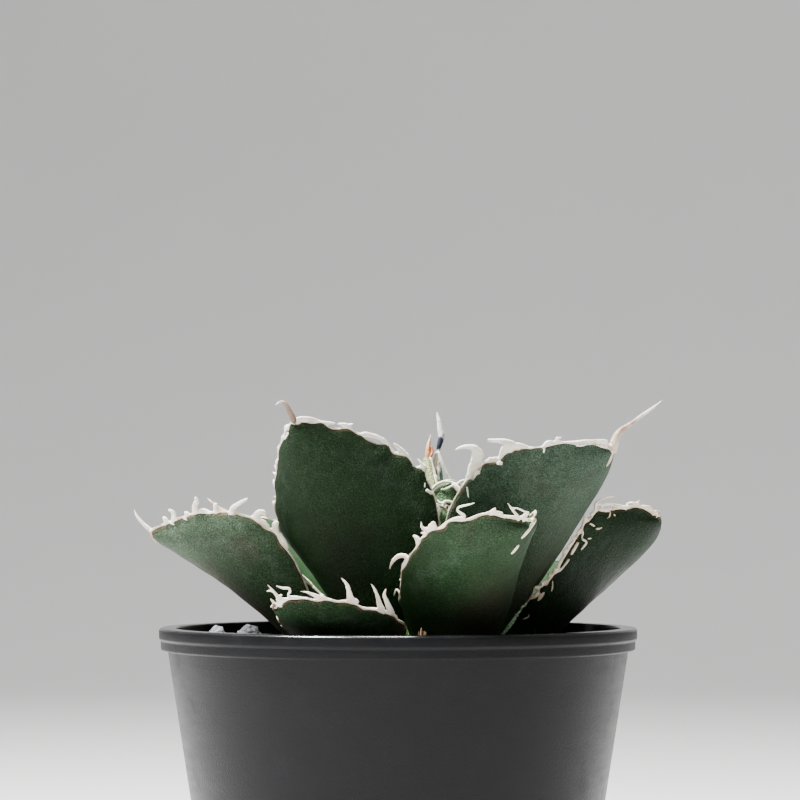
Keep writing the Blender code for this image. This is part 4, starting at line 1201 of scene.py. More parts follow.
@dataclass
class AgaveLeaf:
    """A leaf with its blade and its horny edge of teeth, spine and keel ridge."""

    form: LeafForm
    detail: Detail
    blade_finish: BladeFinish
    horn_finish: HornFinish
    seed: int
    nose: float = BLADE_EDGE
    edge_half_width: float = 0.00036
    edge_half_thickness: float = 0.00052
    spine_radius: float = 0.0019

    def __post_init__(self) -> None:
        """Settles the teeth: the form's own, others by rule on a bare side, and small lumps between."""
        self.rng = random.Random(self.seed)
        traced = {streak.side for streak in self.form.streaks}
        bare = [side for side in Side if side not in traced or side in self.form.toothed]
        spacing = (0.0105 if self.detail is not Detail.YOUNG else 0.014) / self.form.length
        self.teeth = [tooth for side in bare for tooth in self._teeth_by_rule(side, spacing)]
        self.lumps = [lump for side in bare for lump in self._lumps(side, (0.0020, 0.0060), (0.7, 1.7))]
        for side in self.form.flaky:
            self.lumps += self._lumps(side, (0.0010, 0.0022), (1.4, 2.9))

    def _teeth_by_rule(self, side: Side, spacing: float) -> list[Tooth]:
        """Irregular teeth along one margin, largest at mid length."""
        teeth = []
        place = self.rng.uniform(*FIRST_TOOTH)
        while place < LAST_TOOTH:
            size = 0.8 + 190 * self.form.half_width[0] * math.sin(math.pi * place) ** 2
            length = size * self.rng.uniform(0.55, 1.15)
            turns = (self.rng.uniform(-30, 35), self.rng.uniform(-70, 70), self.rng.uniform(-15, 35))
            teeth.append(Tooth(side, place, length, *turns, 0.7 + 0.16 * length))
            place += spacing * self.rng.uniform(0.75, 1.25)
        return teeth

    def _lumps(self, side: Side, spacing: tuple[float, float], length: tuple[float, float]) -> list[Tooth]:
        """Small lumps of horn between the teeth of one margin.

        Args:
            side: the margin.
            spacing: least and greatest distance between two lumps, in metres.
            length: least and greatest length of a lump, in millimetres.

        Returns:
            The lumps.
        """
        lumps = []
        place = FIRST_LUMP
        while place < LAST_LUMP:
            near = min((abs(place - tooth.place) for tooth in self.teeth if tooth.side is side), default=1.0)
            if near * self.form.length > LUMP_TO_TOOTH:
                size = self.rng.uniform(*length)
                turns = (self.rng.uniform(-60, 60), self.rng.uniform(-40, 40), self.rng.uniform(-30, 30))
                lumps.append(Tooth(side, place, size, *turns, self.rng.uniform(0.4, 0.75)))
            place += self.rng.uniform(*spacing) / self.form.length
        return lumps

    def swell(self, s: Array, side: Side) -> Array:
        """How far the margin stands out at places along: in a low mound under each tooth."""
        out = np.zeros_like(s)
        mounds = [(tooth.place, tooth.breadth, min(0.25 + 0.11 * tooth.length, 0.9))
                  for tooth in self.teeth if tooth.side is side]
        for place, breadth, rise in mounds:
            out += rise * MM * np.exp(-(((s - place) * self.form.length / ((1.3 + 0.9 * breadth) * MM)) ** 2))
        for streak in self.form.streaks:
            if streak.side is side:
                place, away, breadth = streak.points[0]
                rise = min(max(away - 0.7, 0), 1.6) * MM
                bump = rise * np.exp(-(((s - place) * self.form.length / ((1.0 + breadth) * MM)) ** 2))
                out = np.maximum(out, bump)
        line = np.stack([s * self.form.length, np.full_like(s, side.value * 0.05), np.zeros_like(s)], 1)
        out += 0.00028 * wander(line, 0.0045, self.seed)
        return np.minimum(out, GREATEST_SWELL) * smooth((1 - s) / 0.03) * smooth(s / 0.2)

    def blade(self) -> bpy.types.Object:
        """Builds the blade with a rounded edge, mounds under its teeth and an uneven skin."""
        stations, columns, _ = self.detail.value
        s = (1 - (1 - np.linspace(0, 1, stations)) ** 1.7) * 0.9996
        u = np.sin(np.linspace(-1, 1, columns) * math.pi / 2)
        flow = np.clip((np.abs(u) - 0.72) / 0.28, 0, 1) ** 2
        faces_of = {}
        for layer in (1, -1):
            points, normal = self.form.sheet(s, u, layer)
            for side in Side:
                outward = self.form.margin(s, side)[1]
                share = np.where(np.sign(u) == side.value, flow, 0)
                points += outward[:, None, :] * self.swell(s, side)[:, None, None] * share[None, :, None]
            relief = wander(points.reshape(-1, 3), 0.011, self.seed).reshape(points.shape[:2])
            relief += 0.5 * wander(points.reshape(-1, 3), 0.0045, self.seed + 9).reshape(points.shape[:2])
            depth = SKIN_RELIEF * (1 - np.abs(u) ** 4)[None, :] * smooth((1 - s) / 0.08)[:, None]
            dent = IMPRINT_DEPTH * self.imprint(s, u, layer)
            faces_of[layer] = points + normal * (relief * depth * layer - dent * layer)[..., None]
        rings = [faces_of[1]]
        turns = np.radians([60, 30, 0, -30, -60])
        for side, order in ((Side.RIGHT, turns), (Side.LEFT, -turns)):
            edge, outward, upward = self.form.margin(s, side)
            swell = self.swell(s, side)
            away = (swell[:, None] + self.nose * np.cos(order))[..., None]
            lift = (self.nose * np.sin(order))[None, :, None]
            rings.append(edge[:, None, :] + outward[:, None, :] * away + upward[:, None, :] * lift)
            if side is Side.RIGHT:
                rings.append(faces_of[-1][:, ::-1])
        rings = np.concatenate(rings, 1)
        rings[0] = self._seated(rings[0])
        return self._closed_blade(rings, s, u, len(turns))

    def imprint(self, s: Array, u: Array, layer: int) -> Array:
        """The mark that an inner leaf's toothed margin left on the outer face: 1 along its scalloped line."""
        if layer > 0 or self.detail is Detail.YOUNG:
            return np.zeros((len(s), len(u)))
        width = np.maximum(np.stack(self.form.half_widths(s), 1).min(1), 0.004)[:, None]
        wave = np.abs(np.sin(s * self.form.length / 0.0075 * math.pi + self.seed))[:, None]
        scallop = wave * 0.0022 / width
        line = 0.74 - 0.25 * smooth((s[:, None] - 0.5) / 0.4) + scallop
        mark = np.exp(-(((np.abs(u)[None, :] - line) * width / 0.0008) ** 2))
        return mark * (smooth((s - 0.30) / 0.15) * smooth((0.88 - s) / 0.12))[:, None]

    def _seated(self, ring: Array) -> Array:
        """The base section, drawn back along the leaf to just under the crown's surface."""
        along = self.form.midrib(np.zeros(1))[1][0]
        reach = np.hypot(ring[:, 0] - AXIS_X, ring[:, 1])
        drop = ring[:, 2] - crown_height(reach) + GAP
        return ring - along * (drop / (along[2] - CROWN_SLOPE * math.hypot(along[0], along[1])))[:, None]

    def _closed_blade(self, rings: Array, s: Array, u: Array, arc: int) -> bpy.types.Object:
        """The blade's object from its rings, with the attributes that its colours need.

        Args:
            rings: points by place along and around.
            s: places along.
            u: places across.
            arc: how many points round the edge on each side.

        Returns:
            The blade.
        """
        around = rings.shape[1]
        faces = tube_faces(len(rings), around)[:-2]
        for first in (0, (len(rings) - 1) * around):
            ring = list(range(first, first + around))
            top, bottom = ring[:len(u)], ring[len(u) + arc:2 * len(u) + arc][::-1]
            faces += [(top[i], top[i + 1], bottom[i + 1], bottom[i]) for i in range(len(u) - 1)]
            faces.append((top[-1], *ring[len(u):len(u) + arc], bottom[-1]))
            faces.append((bottom[0], *ring[2 * len(u) + arc:], top[0]))
        blade = make_object(self.form.name + "_blade_skin", rings.reshape(-1, 3), faces)
        across = np.concatenate([u, np.ones(arc), u[::-1], -np.ones(arc)])
        edge = np.concatenate([np.zeros(len(u)), np.ones(arc), np.zeros(len(u)), np.ones(arc)])
        along = np.repeat(s, around).reshape(-1, around)
        wide = np.where(across < 0, *[half[:, None] for half in self.form.half_widths(s)])
        growth = np.stack([across[None, :] * wide, along * self.form.length, along * 0], 2)
        imprint = np.zeros_like(along)
        imprint[:, len(u) + arc:2 * len(u) + arc] = self.imprint(s, u, -1)[:, ::-1]
        # Bloom rises toward the tip and the margins: partly the wax's own spread, partly a painted sheen of
        # the light on the upper leaf.
        bloom = 0.15 + 0.65 * smooth((along - 0.30) / 0.62) + 0.10 * smooth((np.abs(across) - 0.55) / 0.45)
        # The upper (inner) faces get 45 % less bloom, and their bases keep the deep green: painted shade
        # where the leaves cover each other.
        inner = np.zeros(around)
        inner[:len(u)] = 1
        bloom *= 1 - 0.45 * inner
        near_edge = np.maximum(edge, smooth((np.abs(across) - 0.96) / 0.04) * 0.4)
        keel = np.zeros_like(along)
        keel[:, len(u) + arc:2 * len(u) + arc] = 1 - smooth(np.abs(u[::-1]) / 0.5)
        keel *= smooth((0.85 - along) / 0.5)
        low = smooth((0.42 - along) / 0.42) * (1 - inner)
        rim = near_edge * smooth((along - 0.12) / 0.1)
        paint(blade, growth=growth.reshape(-1, 3), imprint=imprint.ravel(),
              bloom=np.clip(bloom, 0, 1).ravel(), keel=keel.ravel(), low=low.ravel(), rim=rim.ravel())
        return blade

    def edge(self) -> bpy.types.Object:
        """Builds the horny edge in one body."""
        work = EdgeWork([], [], [])
        lines = {side: self._margin_strip(side) for side in Side}
        whole = [np.vstack([a, b[-2::-1]]) for a, b in zip(lines[Side.LEFT][1:], lines[Side.RIGHT][1:])]
        centers, outward, upward = self._even(*whole)
        rough = wander(centers, 0.0026, self.seed + 3)[:, None]
        ends = np.linspace(0, 1, len(centers))
        taper = (smooth(ends / 0.05) * smooth((1 - ends) / 0.05) * 0.7 + 0.3)[:, None]
        work.add(centers, outward * self.edge_half_width * (1 + 0.8 * rough) * taper,
                 upward * self.edge_half_thickness * (1 + 0.35 * rough) * taper, outward, ends, Strand.MARGIN)
        tip = self.form.margin(np.array([1.0]), Side.LEFT)
        along = self.form.midrib(np.array([1.0]))[1][0]
        normal = unit(self.form.midrib(np.array([1.0]))[3][0])
        root = tip[0][0] + along * (GAP + 0.0003)
        self._add_spine(work, root, along, normal)
        if self.form.heel > 0:
            self._add_heel(work, root)
        for tooth in self.teeth + self.lumps:
            places, *fields = lines[tooth.side]
            base, out, upward_here = (
                np.array([np.interp(tooth.place, places, part[:, k]) for k in range(3)]) for part in fields)
            self._add_tooth(work, tooth, base, unit(out), unit(upward_here))
        for streak in self.form.streaks:
            self._add_streak(work, streak)
        for thread in self.form.threads:
            path = self._from_tip(thread.points, root, along, normal)
            share = np.full(len(path), 0.1) if thread.of_spine else np.linspace(0.2, 1, len(path))
            strand = Strand.SPINE if thread.of_spine else Strand.TOOTH
            self._needle(work, path[:, :3], path[:, 3], normal, share, strand)
        return work.fused(self.form.name + "_horny_edge", self.detail.value[2])

    def _margin_strip(self, side: Side) -> tuple[Array, Array, Array, Array]:
        """Places, centre points, outward directions and upper normals of one margin's strip."""
        s = 0.16 + 0.84 * (1 - (1 - np.linspace(0, 1, 260)) ** 2)
        edge, outward, upward = self.form.margin(s, side)
        stand = self.nose + self.swell(s, side) + 0.00012
        return s, edge + outward * stand[:, None], outward, upward

    @staticmethod
    def _even(points: Array, outward: Array, upward: Array) -> tuple[Array, ...]:
        """The margin at even steps, with its directions eased round the tip."""
        run = np.concatenate([[0], np.cumsum(np.linalg.norm(np.diff(points, axis=0), axis=1))])
        even = np.linspace(0, run[-1], int(run[-1] / MARGIN_STEP))
        parts = [np.stack([np.interp(even, run, part[:, k]) for k in range(3)], 1)
                 for part in (points, outward, upward)]
        kernel = np.ones(7) / 7
        for part in parts:
            for k in range(3):
                padded = np.pad(part[:, k], 3, mode="edge")
                part[:, k] = np.convolve(padded, kernel, mode="valid")
        return parts[0], unit(parts[1]), unit(parts[2])

    def _add_tooth(self, work: EdgeWork, tooth: Tooth, root: Array, out: Array,
                   upward: Array) -> None:
        """Adds a flat curved tooth whose root spreads along the margin.

        Args:
            work: the tubes.
            tooth: the tooth.
            root: where it stands on the margin.
            out: the direction away from the blade there.
            upward: the upper normal there.
        """
        forward = unit(np.cross(out, upward) * tooth.side.value)
        upward = np.cross(forward, out) * tooth.side.value
        lift = math.radians(tooth.lift)
        facing_out = out * math.cos(lift) + upward * math.sin(lift)
        steps = 2 + int(tooth.length > 3) + 2 * int(tooth.length > 6)
        controls = [root]
        for k in range(steps):
            angle = math.radians(tooth.lean + tooth.hook * k / steps)
            heading = facing_out * math.cos(angle) + forward * math.sin(angle)
            controls.append(controls[-1] + heading * tooth.length * MM / steps)
        count = 6 + int(tooth.length * 2.2)
        centers = smooth_path(np.array(controls), count)
        place = np.linspace(0, 1, count)
        thin_way = unit(np.cross(facing_out, forward))
        if tooth.length > 2:
            sway = 0.05 * tooth.length * MM * self.rng.uniform(-1, 1)
            centers += thin_way * (np.sin(place * math.pi * 1.3) * sway)[:, None]
        tangent = unit(np.gradient(centers, axis=0))
        turned = smooth(place / 0.3)[:, None]
        across = unit(np.cross(tangent, thin_way))
        across *= np.sign(across @ forward)[:, None] if tooth.length < 2 else 1
        if across[0] @ forward < 0:
            across = -across
        broad_way = unit(forward * (1 - turned) + across * turned)
        taper = (1 - place) ** (0.75 + 0.3 * (tooth.breadth > 1.5))
        flare = np.exp(-place * tooth.length / 0.7)
        broad = np.maximum(tooth.breadth * taper * (1 + flare), 0.17) * MM
        thin = np.maximum((0.62 + 0.05 * tooth.breadth) * (1 - place) ** 0.5 * (1 - 0.25 * place), 0.15) * MM
        work.add(centers, broad_way * broad[:, None], unit(np.cross(tangent, broad_way)) * thin[:, None],
                 np.repeat(out[None], count, 0), place, Strand.TOOTH, 12)

    def _add_streak(self, work: EdgeWork, streak: Streak) -> None:
        """Adds a flat tooth or thread along its own path in the margin's sheet."""
        rows = np.array(streak.points)
        place, away, half = rows.T
        if away[0] > 0.8:
            place, away, half = (np.concatenate([[first], rest]) for first, rest in
                                 ((place[0], place), (0.4, away), (half[0] * 1.15, half)))
        run = np.hypot(np.diff(place) * self.form.length / MM, np.diff(away))
        count = 4 + int(run.sum() / 0.45)
        flat = smooth_path(np.stack([place * 100, away, half], 1), count)
        place, away, half = flat[:, 0] / 100, flat[:, 1], np.maximum(1.16 * flat[:, 2], 0.16)
        edge, outward, upward = self.form.margin(np.clip(place, 0.02, 0.999), streak.side)
        share = np.linspace(0, 1, count)
        sway = 0.22 * wander(np.stack([place * 40, away, np.full(count, self.seed)], 1), 1.6, self.seed)
        sunk = 0.95 * smooth((0.9 - away) / 0.9) + 0.3 * np.maximum(-away, 0)
        raised = (0.25 + sway) * share - sunk
        centers = edge + outward * (away * MM)[:, None] + upward * (raised * MM)[:, None]
        tangent = unit(np.gradient(centers, axis=0))
        broad_way = unit(np.cross(tangent, upward))
        rough = 1 + 0.22 * wander(centers, 0.0011, self.seed + 5)
        thin = np.minimum(0.30 + 0.30 * half, 0.95 * half + 0.06) * MM
        broad = broad_way * (half * rough * MM)[:, None]
        work.add(centers, broad, unit(np.cross(tangent, broad_way)) * thin[:, None], outward, share,
                 Strand.TOOTH, 12)

    def _add_spine(self, work: EdgeWork, root: Array, direction: Array, normal: Array) -> None:
        """Adds the end spine, along its own path or turned by its numbers, drawn to a fine point."""
        if self.form.needle:
            path = self._from_tip(self.form.needle, root, direction, normal)
            self._needle(work, path[:, :3], path[:, 3], normal, np.linspace(0, 1, len(path)))
            return
        length, tilt, rise, sideways = self.form.spine
        side = np.cross(direction, normal)
        controls = [root]
        for k in range(4):
            place = k / 4
            up = math.radians(tilt * min(1, 2 * place) + rise * place)
            aside = math.radians(sideways * place)
            heading = direction * math.cos(up) + normal * math.sin(up)
            heading = heading * math.cos(aside) + side * math.sin(aside)
            controls.append(controls[-1] + heading * length / 4)
        place = np.linspace(0, 1, 30)
        swelling = 1 + 0.35 * np.exp(-place / 0.08)
        radius = np.maximum(self.spine_radius * (1 - place) ** 0.9 * swelling, 0.00014)
        self._needle(work, smooth_path(np.array(controls), 30), radius, normal, place)

    @staticmethod
    def _from_tip(rows: tuple, root: Array, direction: Array, normal: Array) -> Array:
        """A smooth path through points in the tip's own axes, with its half breadth as a fourth column."""
        forward, up, aside, half = np.array(rows).T[..., None] * MM
        controls = root + direction * forward + normal * up + np.cross(normal, direction) * aside
        path = smooth_path(np.hstack([controls, half]), 6 * len(rows))
        path[:, 3] = np.maximum(path[:, 3], 0.00013)
        return path

    @staticmethod
    def _needle(work: EdgeWork, centers: Array, radius: Array, normal: Array,
                share: Array, strand: Strand = Strand.SPINE) -> None:
        """Adds a round needle along a path."""
        tangent = unit(np.gradient(centers, axis=0))
        across = unit(np.cross(tangent, normal))
        above = np.cross(across, tangent)
        flat = above * (0.85 * radius)[:, None]
        work.add(centers, across * radius[:, None], flat, above, share, strand, 14)

    def _add_heel(self, work: EdgeWork, root: Array) -> None:
        """Adds the ridge that runs from the spine down the keel."""
        s = np.linspace(1 - self.form.heel / self.form.length, 1.0, 14)
        keel, normal = self.form.sheet(s, np.array([0.0]), -1)
        along = self.form.midrib(s)[1]
        centers, normal = keel[:, 0], normal[:, 0]
        centers = centers + (root - centers[-1]) * (smooth((s - s[0]) / (1 - s[0])) ** 4)[:, None]
        share = np.linspace(0, 1, len(s))
        side = np.cross(normal, along)
        wide = 0.00095 * (0.25 + 0.75 * share**0.7)
        tall = 0.00065 * (0.35 + 0.65 * share)
        place = 0.12 * (1 - share)
        work.add(centers, side * wide[:, None], normal * tall[:, None], -normal, place, Strand.SPINE, 12)

    def build(self) -> None:
        """Builds and dresses both pieces."""
        seat(self.blade(), self.blade_finish.material(), (self.form.name + "_blade",), sharp=70)
        seat(self.edge(), self.horn_finish.material(), (self.form.name + "_border",), sharp=80)


def turned_rings(profile: list[tuple[float, float]], steps: int) -> Array:
    """Rings of points from a turned profile of (radius, height)."""
    turn = np.linspace(0, 2 * np.pi, steps, endpoint=False)
    return np.array([[(r * math.cos(a), r * math.sin(a), z) for a in turn] for r, z in profile])


def rounded(corners: list[tuple[float, float, float]], steps: int = 5) -> list[tuple[float, float]]:
    """A profile whose corners are rounded.

    Args:
        corners: (radius, height, rounding) of each corner, both ends kept as they are.
        steps: points along each rounding.

    Returns:
        The profile's points.
    """
    out = [corners[0][:2]]
    for (ax, az, _), (bx, bz, size), (cx, cz, _) in zip(corners, corners[1:], corners[2:]):
        before, here, after = np.array([ax, az]), np.array([bx, bz]), np.array([cx, cz])
        reach = min(size, 0.45 * np.linalg.norm(before - here), 0.45 * np.linalg.norm(after - here))
        start, end = here + unit(before - here) * reach, here + unit(after - here) * reach
        for t in np.linspace(0, 1, steps):
            out.append(tuple(start * (1 - t) ** 2 + here * 2 * t * (1 - t) + end * t**2))
    out.append(corners[-1][:2])
    return out


@dataclass
class NurseryPot:
    """A round nursery pot with a rolled lip, a flat base and drain holes."""

    finish: PlasticFinish
    steps: int = 160
    edge_round: float = 0.0012
    drain_radius: float = 0.0045
    drain_ring: float = 0.034
    drain_count: int = 6

    def build(self) -> None:
        """Builds and dresses the pot."""
        inner_top = BODY_TOP_RADIUS - WALL
        under_lip = POT_HEIGHT - LIP_HEIGHT
        profile = rounded([
            (0.0006, FLOOR, 0), (pot_inner_radius(FLOOR), FLOOR, 0.0020), (inner_top, under_lip, 0.001),
            (inner_top, POT_HEIGHT, 0.0006), (RIM_RADIUS, POT_HEIGHT, self.edge_round),
            (RIM_RADIUS - 0.0001, POT_HEIGHT - 0.0034, 0.0006),
            (RIM_RADIUS - 0.0006, POT_HEIGHT - 0.0040, 0.0004),
            (RIM_RADIUS - 0.0007, under_lip, 0.0006), (BODY_TOP_RADIUS, under_lip, 0.0004),
            (BASE_RADIUS + 0.0010, 0.0052, 0.0010), (BASE_RADIUS + 0.0002, 0.0046, 0.0006),
            (BASE_RADIUS + 0.0002, 0.0, 0.0011), (BASE_RADIUS - 0.0060, 0.0, 0.0006), (0.0006, 0.0, 0)])
        rings = turned_rings(profile, self.steps)
        pot = make_object("nursery_pot", rings.reshape(-1, 3), tube_faces(len(rings), self.steps))
        holes = []
        for k in range(self.drain_count):
            turn = 2 * math.pi * (k + 0.5) / self.drain_count
            place = np.array([self.drain_ring * math.cos(turn), self.drain_ring * math.sin(turn), 0.0])
            rings = turned_rings([(self.drain_radius, -0.005), (self.drain_radius, 0.010)], 28) + place
            holes.append(make_object(f"drain_{k + 1}", rings.reshape(-1, 3), tube_faces(2, 28)))
        cut = pot.modifiers.new("drain", "BOOLEAN")
        cut.operation = "DIFFERENCE"
        cut.operand_type = "COLLECTION"
        cut.collection = bpy.data.collections.new("drain_cutters")
        for hole in holes:
            cut.collection.objects.link(hole)
        graph = bpy.context.evaluated_depsgraph_get()
        mesh = bpy.data.meshes.new_from_object(pot.evaluated_get(graph))
        pot.modifiers.clear()
        pot.data = mesh
        for hole in holes:
            bpy.data.objects.remove(hole)
        seat(pot, self.finish.material(), ("pot",), sharp=40)


@dataclass
class PottingMix:
    """The mineral mix: a body that fills the pot, covered with loose angular grains."""

    finish: GravelFinish
    seed: int = 5
    steps: int = 144
    large: int = 190
    small: int = 1250

    @staticmethod
    def level(x: float, y: float) -> float:
        """Height of the mix's top: lower near the crown."""
        inner = math.hypot(x - AXIS_X, y) - CROWN_RADIUS
        outer = pot_inner_radius(POT_HEIGHT - SOIL_DROP) - math.hypot(x, y)
        share = max(0.0, outer) / max(1e-6, max(0.0, inner) + max(0.0, outer))
        return POT_HEIGHT - SOIL_DROP + (CROWN_EDGE + SOIL_DROP) * share

    def body(self) -> tuple[Array, Faces]:
        """The mix's own body under its grains."""
        wall_top = pot_inner_radius(POT_HEIGHT - SOIL_DROP) - GAP
        turn = np.linspace(0, 2 * np.pi, self.steps, endpoint=False)
        circle = np.stack([np.cos(turn), np.sin(turn)], 1)
        rings = []
        for radius, height in ((0.0130, -0.051), (0.0130, -0.047), (0.0168, -0.0335), (0.0350, -0.0236),
                               (0.0458, -0.0146)):
            flat = circle * radius + (AXIS_X, 0)
            rings.append(np.hstack([flat, np.full((self.steps, 1), POT_HEIGHT + height)]))
        for share in np.linspace(0, 1, 26):
            flat = (circle * (CROWN_RADIUS + 0.0006) + (AXIS_X, 0)) * (1 - share) + circle * wall_top * share
            heights = np.array([self.level(x, y) for x, y in flat]) - 0.0006
            here = np.hstack([flat, heights[:, None]])
            here[:, 2] += 0.0006 * wander(here, 0.0016, 2.0)
            rings.append(here)
        for height in (POT_HEIGHT - 0.014, FLOOR + GAP):
            ring = circle * (pot_inner_radius(height) - GAP)
            rings.append(np.hstack([ring, np.full((self.steps, 1), height)]))
        rings = np.array(rings)
        return rings.reshape(-1, 3), tube_faces(len(rings), self.steps)

    def grains(self) -> tuple[Array, Faces, Array]:
        """The loose grains: their points, faces and one tone a grain."""
        rng = random.Random(self.seed)
        forms = {fine: self._ball(fine) for fine in (1, 2)}
        placed: list[tuple[float, float, float]] = []
        points, faces, tones, count = [], [], [], 0
        limit = pot_inner_radius(POT_HEIGHT - SOIL_DROP)
        for fine, wanted, low, high in ((2, self.large, 0.0019, 0.0033), (1, self.small, 0.0008, 0.0018)):
            for _ in range(wanted):
                for _ in range(14):
                    size = rng.uniform(low, high)
                    turn, reach = rng.uniform(0, 2 * math.pi), math.sqrt(rng.uniform(0.20, 1.0))
                    away = (limit - size * 1.05) * reach
                    x, y = away * math.cos(turn), away * math.sin(turn)
                    from_axis = math.hypot(x - AXIS_X, y)
                    if from_axis > 0.037 and all((x - a) ** 2 + (y - b) ** 2 > (0.72 * (size + c)) ** 2
                                                 for a, b, c in placed):
                        break
                else:
                    continue
                placed.append((x, y, size))
                on_crown = float(crown_height(from_axis)) - 0.0004
                floor = self.level(x, y) if from_axis > CROWN_RADIUS else on_crown
                ball, skin = forms[fine]
                points.append(self._chipped(ball, size, rng) + (x, y, floor + size * rng.uniform(0.15, 0.5)))
                faces += [tuple(corner + count for corner in face) for face in skin]
                tones += [rng.random()] * len(ball)
                count += len(ball)
        return np.vstack(points), faces, np.array(tones)

    @staticmethod
    def _ball(fine: int) -> tuple[Array, Faces]:
        """A unit ball's points and faces."""
        work = bmesh.new()
        bmesh.ops.create_icosphere(work, subdivisions=fine, radius=1.0)
        points = np.array([vertex.co[:] for vertex in work.verts])
        faces = [tuple(vertex.index for vertex in face.verts) for face in work.faces]
        work.free()
        return points, faces

    @staticmethod
    def _chipped(ball: Array, size: float, rng: random.Random) -> Array:
        """A grain with flat broken faces, stretched and turned at random."""
        points = ball * np.array([rng.uniform(0.8, 1.25), rng.uniform(0.75, 1.1), rng.uniform(0.6, 0.9)])
        for _ in range(9):
            facing = unit(np.array([rng.gauss(0, 1) for _ in range(3)]))
            over = np.maximum(points @ facing - rng.uniform(0.55, 0.85), 0)
            points = points - over[:, None] * facing
        turn = Matrix.Rotation(rng.uniform(0, 6.28), 3, "Z") @ Matrix.Rotation(rng.uniform(-0.6, 0.6), 3, "X")
        return points @ np.array(turn).T * size

    def build(self) -> None:
        """Builds and dresses the mix with its grains."""
        points, faces = self.body()
        more, skins, tones = self.grains()
        faces += [tuple(corner + len(points) for corner in face) for face in skins]
        mix = make_object("potting_mix", np.vstack([points, more]), faces)
        paint(mix, tone=np.concatenate([np.full(len(points), 0.2), tones]))
        seat(mix, self.finish.material(), ("soil",), sharp=32)


@dataclass
class Pebble:
    """A pitted pebble that lies on the mix."""

    name: str
    x: float
    y: float
    radius: float
    tall: float
    finish: GravelFinish

    def build(self) -> None:
        """Builds and dresses the pebble where the frame has it, as tall as the photograph shows it."""
        work = bmesh.new()
        bmesh.ops.create_icosphere(work, subdivisions=5, radius=self.radius)
        for vertex in work.verts:
            vertex.co *= 1 + 0.16 * noise.noise(vertex.co / self.radius * 1.3 + vertex.co.normalized())
            vertex.co *= 1 - 0.07 * abs(noise.noise(vertex.co / self.radius * 4.5)) ** 0.7
            vertex.co.z *= self.tall
        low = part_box(self.name)[0].z
        bottom = min(vertex.co.z for vertex in work.verts)
        points = np.array([vertex.co[:] for vertex in work.verts]) + (self.x, self.y, low - bottom)
        faces = [tuple(vertex.index for vertex in face.verts) for face in work.faces]
        work.free()
        pebble = make_object(self.name + "_pitted", points, faces)
        paint(pebble, tone=np.full(len(points), 0.5))
        seat(pebble, self.finish.material(), (self.name,), sharp=70)


@dataclass
class DryBases:
    """Papery remains of old leaf bases round the crown."""

    finish: PaperFinish
    seed: int = 23
    count: int = 15
    upright: tuple[float, float, float, float, float] = (264, 0.0425, 0.0024, 0.0118, 1.25)

    def build(self) -> None:
        """Builds and dresses the remains as one piece."""
        rng = random.Random(self.seed)
        points, faces, growths = [], [], []
        places = [(360 * (k + rng.uniform(-0.3, 0.3)) / self.count, rng.uniform(0.0405, 0.0450),
                   rng.uniform(0.006, 0.0105), rng.uniform(0.0045, 0.0080), rng.uniform(0.3, 1.1))
                  for k in range(self.count)]
        for azimuth, reach, half, length, curl in places + [self.upright]:
            scale = self._scale(azimuth, reach, half, length, curl, rng)
            first = sum(len(part) for part in points)
            points.append(scale[0])
            faces += [tuple(corner + first for corner in face) for face in scale[1]]
            growths.append(scale[2])
        piece = make_object("dry_leaf_bases", np.vstack(points), faces)
        paint(piece, growth=np.vstack(growths))
        seat(piece, self.finish.material(), slot="stem", sharp=60)

    @staticmethod
    def _scale(azimuth: float, reach: float, half: float, length: float, curl: float,
               rng: random.Random) -> tuple[Array, Faces, Array]:
        """One thin curled scale.

        Args:
            azimuth: its direction from the rosette's axis.
            reach: its distance from the axis.
            half: its half width.
            length: its length.
            curl: how far it turns up, in radians.
            rng: the source of its irregularities.

        Returns:
            Points, faces and growth coordinates.
        """
        rows, columns = 12, 23
        shift = rng.uniform(0, 50)
        u, v = np.meshgrid(np.linspace(-1, 1, columns), np.linspace(0, 1, rows))
        ragged = 1 + 0.30 * wander(np.stack([u.ravel() * 6, np.full(u.size, shift), u.ravel() * 0], 1), 1.0)
        long = v * length * ragged.reshape(u.shape) * (1 - 0.45 * u**2)
        heading = math.radians(azimuth)
        out = np.array([math.cos(heading), math.sin(heading), 0.0])
        side = np.array([-out[1], out[0], 0.0])
        base = float(crown_height(reach))
        away = reach + long * np.cos(curl * v)
        rise = -0.0006 + 0.24 * long + long * np.sin(curl * v) * 0.8 - 0.0022 * u**2
        middle = (np.array([AXIS_X, 0, base]) + out * away[..., None] + side * (u * half)[..., None]
                  + np.array([0, 0, 1.0]) * rise[..., None])
        crumple = 0.0004 * wander(middle.reshape(-1, 3), 0.0022, shift).reshape(u.shape)
        middle[..., 2] += crumple
        top, bottom = middle + (0, 0, 0.00032), middle - (0, 0, 0.00032)
        rings = np.concatenate([top, bottom[:, ::-1]], 1)
        growth = np.stack([u * half, v * length, v * 0], 2)
        growth = np.concatenate([growth, growth[:, ::-1]], 1)
        around = 2 * columns
        faces = tube_faces(rows, around)[:-2]
        for first in (0, (rows - 1) * around):
            faces += [(first + i, first + i + 1, first + around - 2 - i, first + around - 1 - i)
                      for i in range(columns - 1)]
        return rings.reshape(-1, 3), faces, growth.reshape(-1, 3)


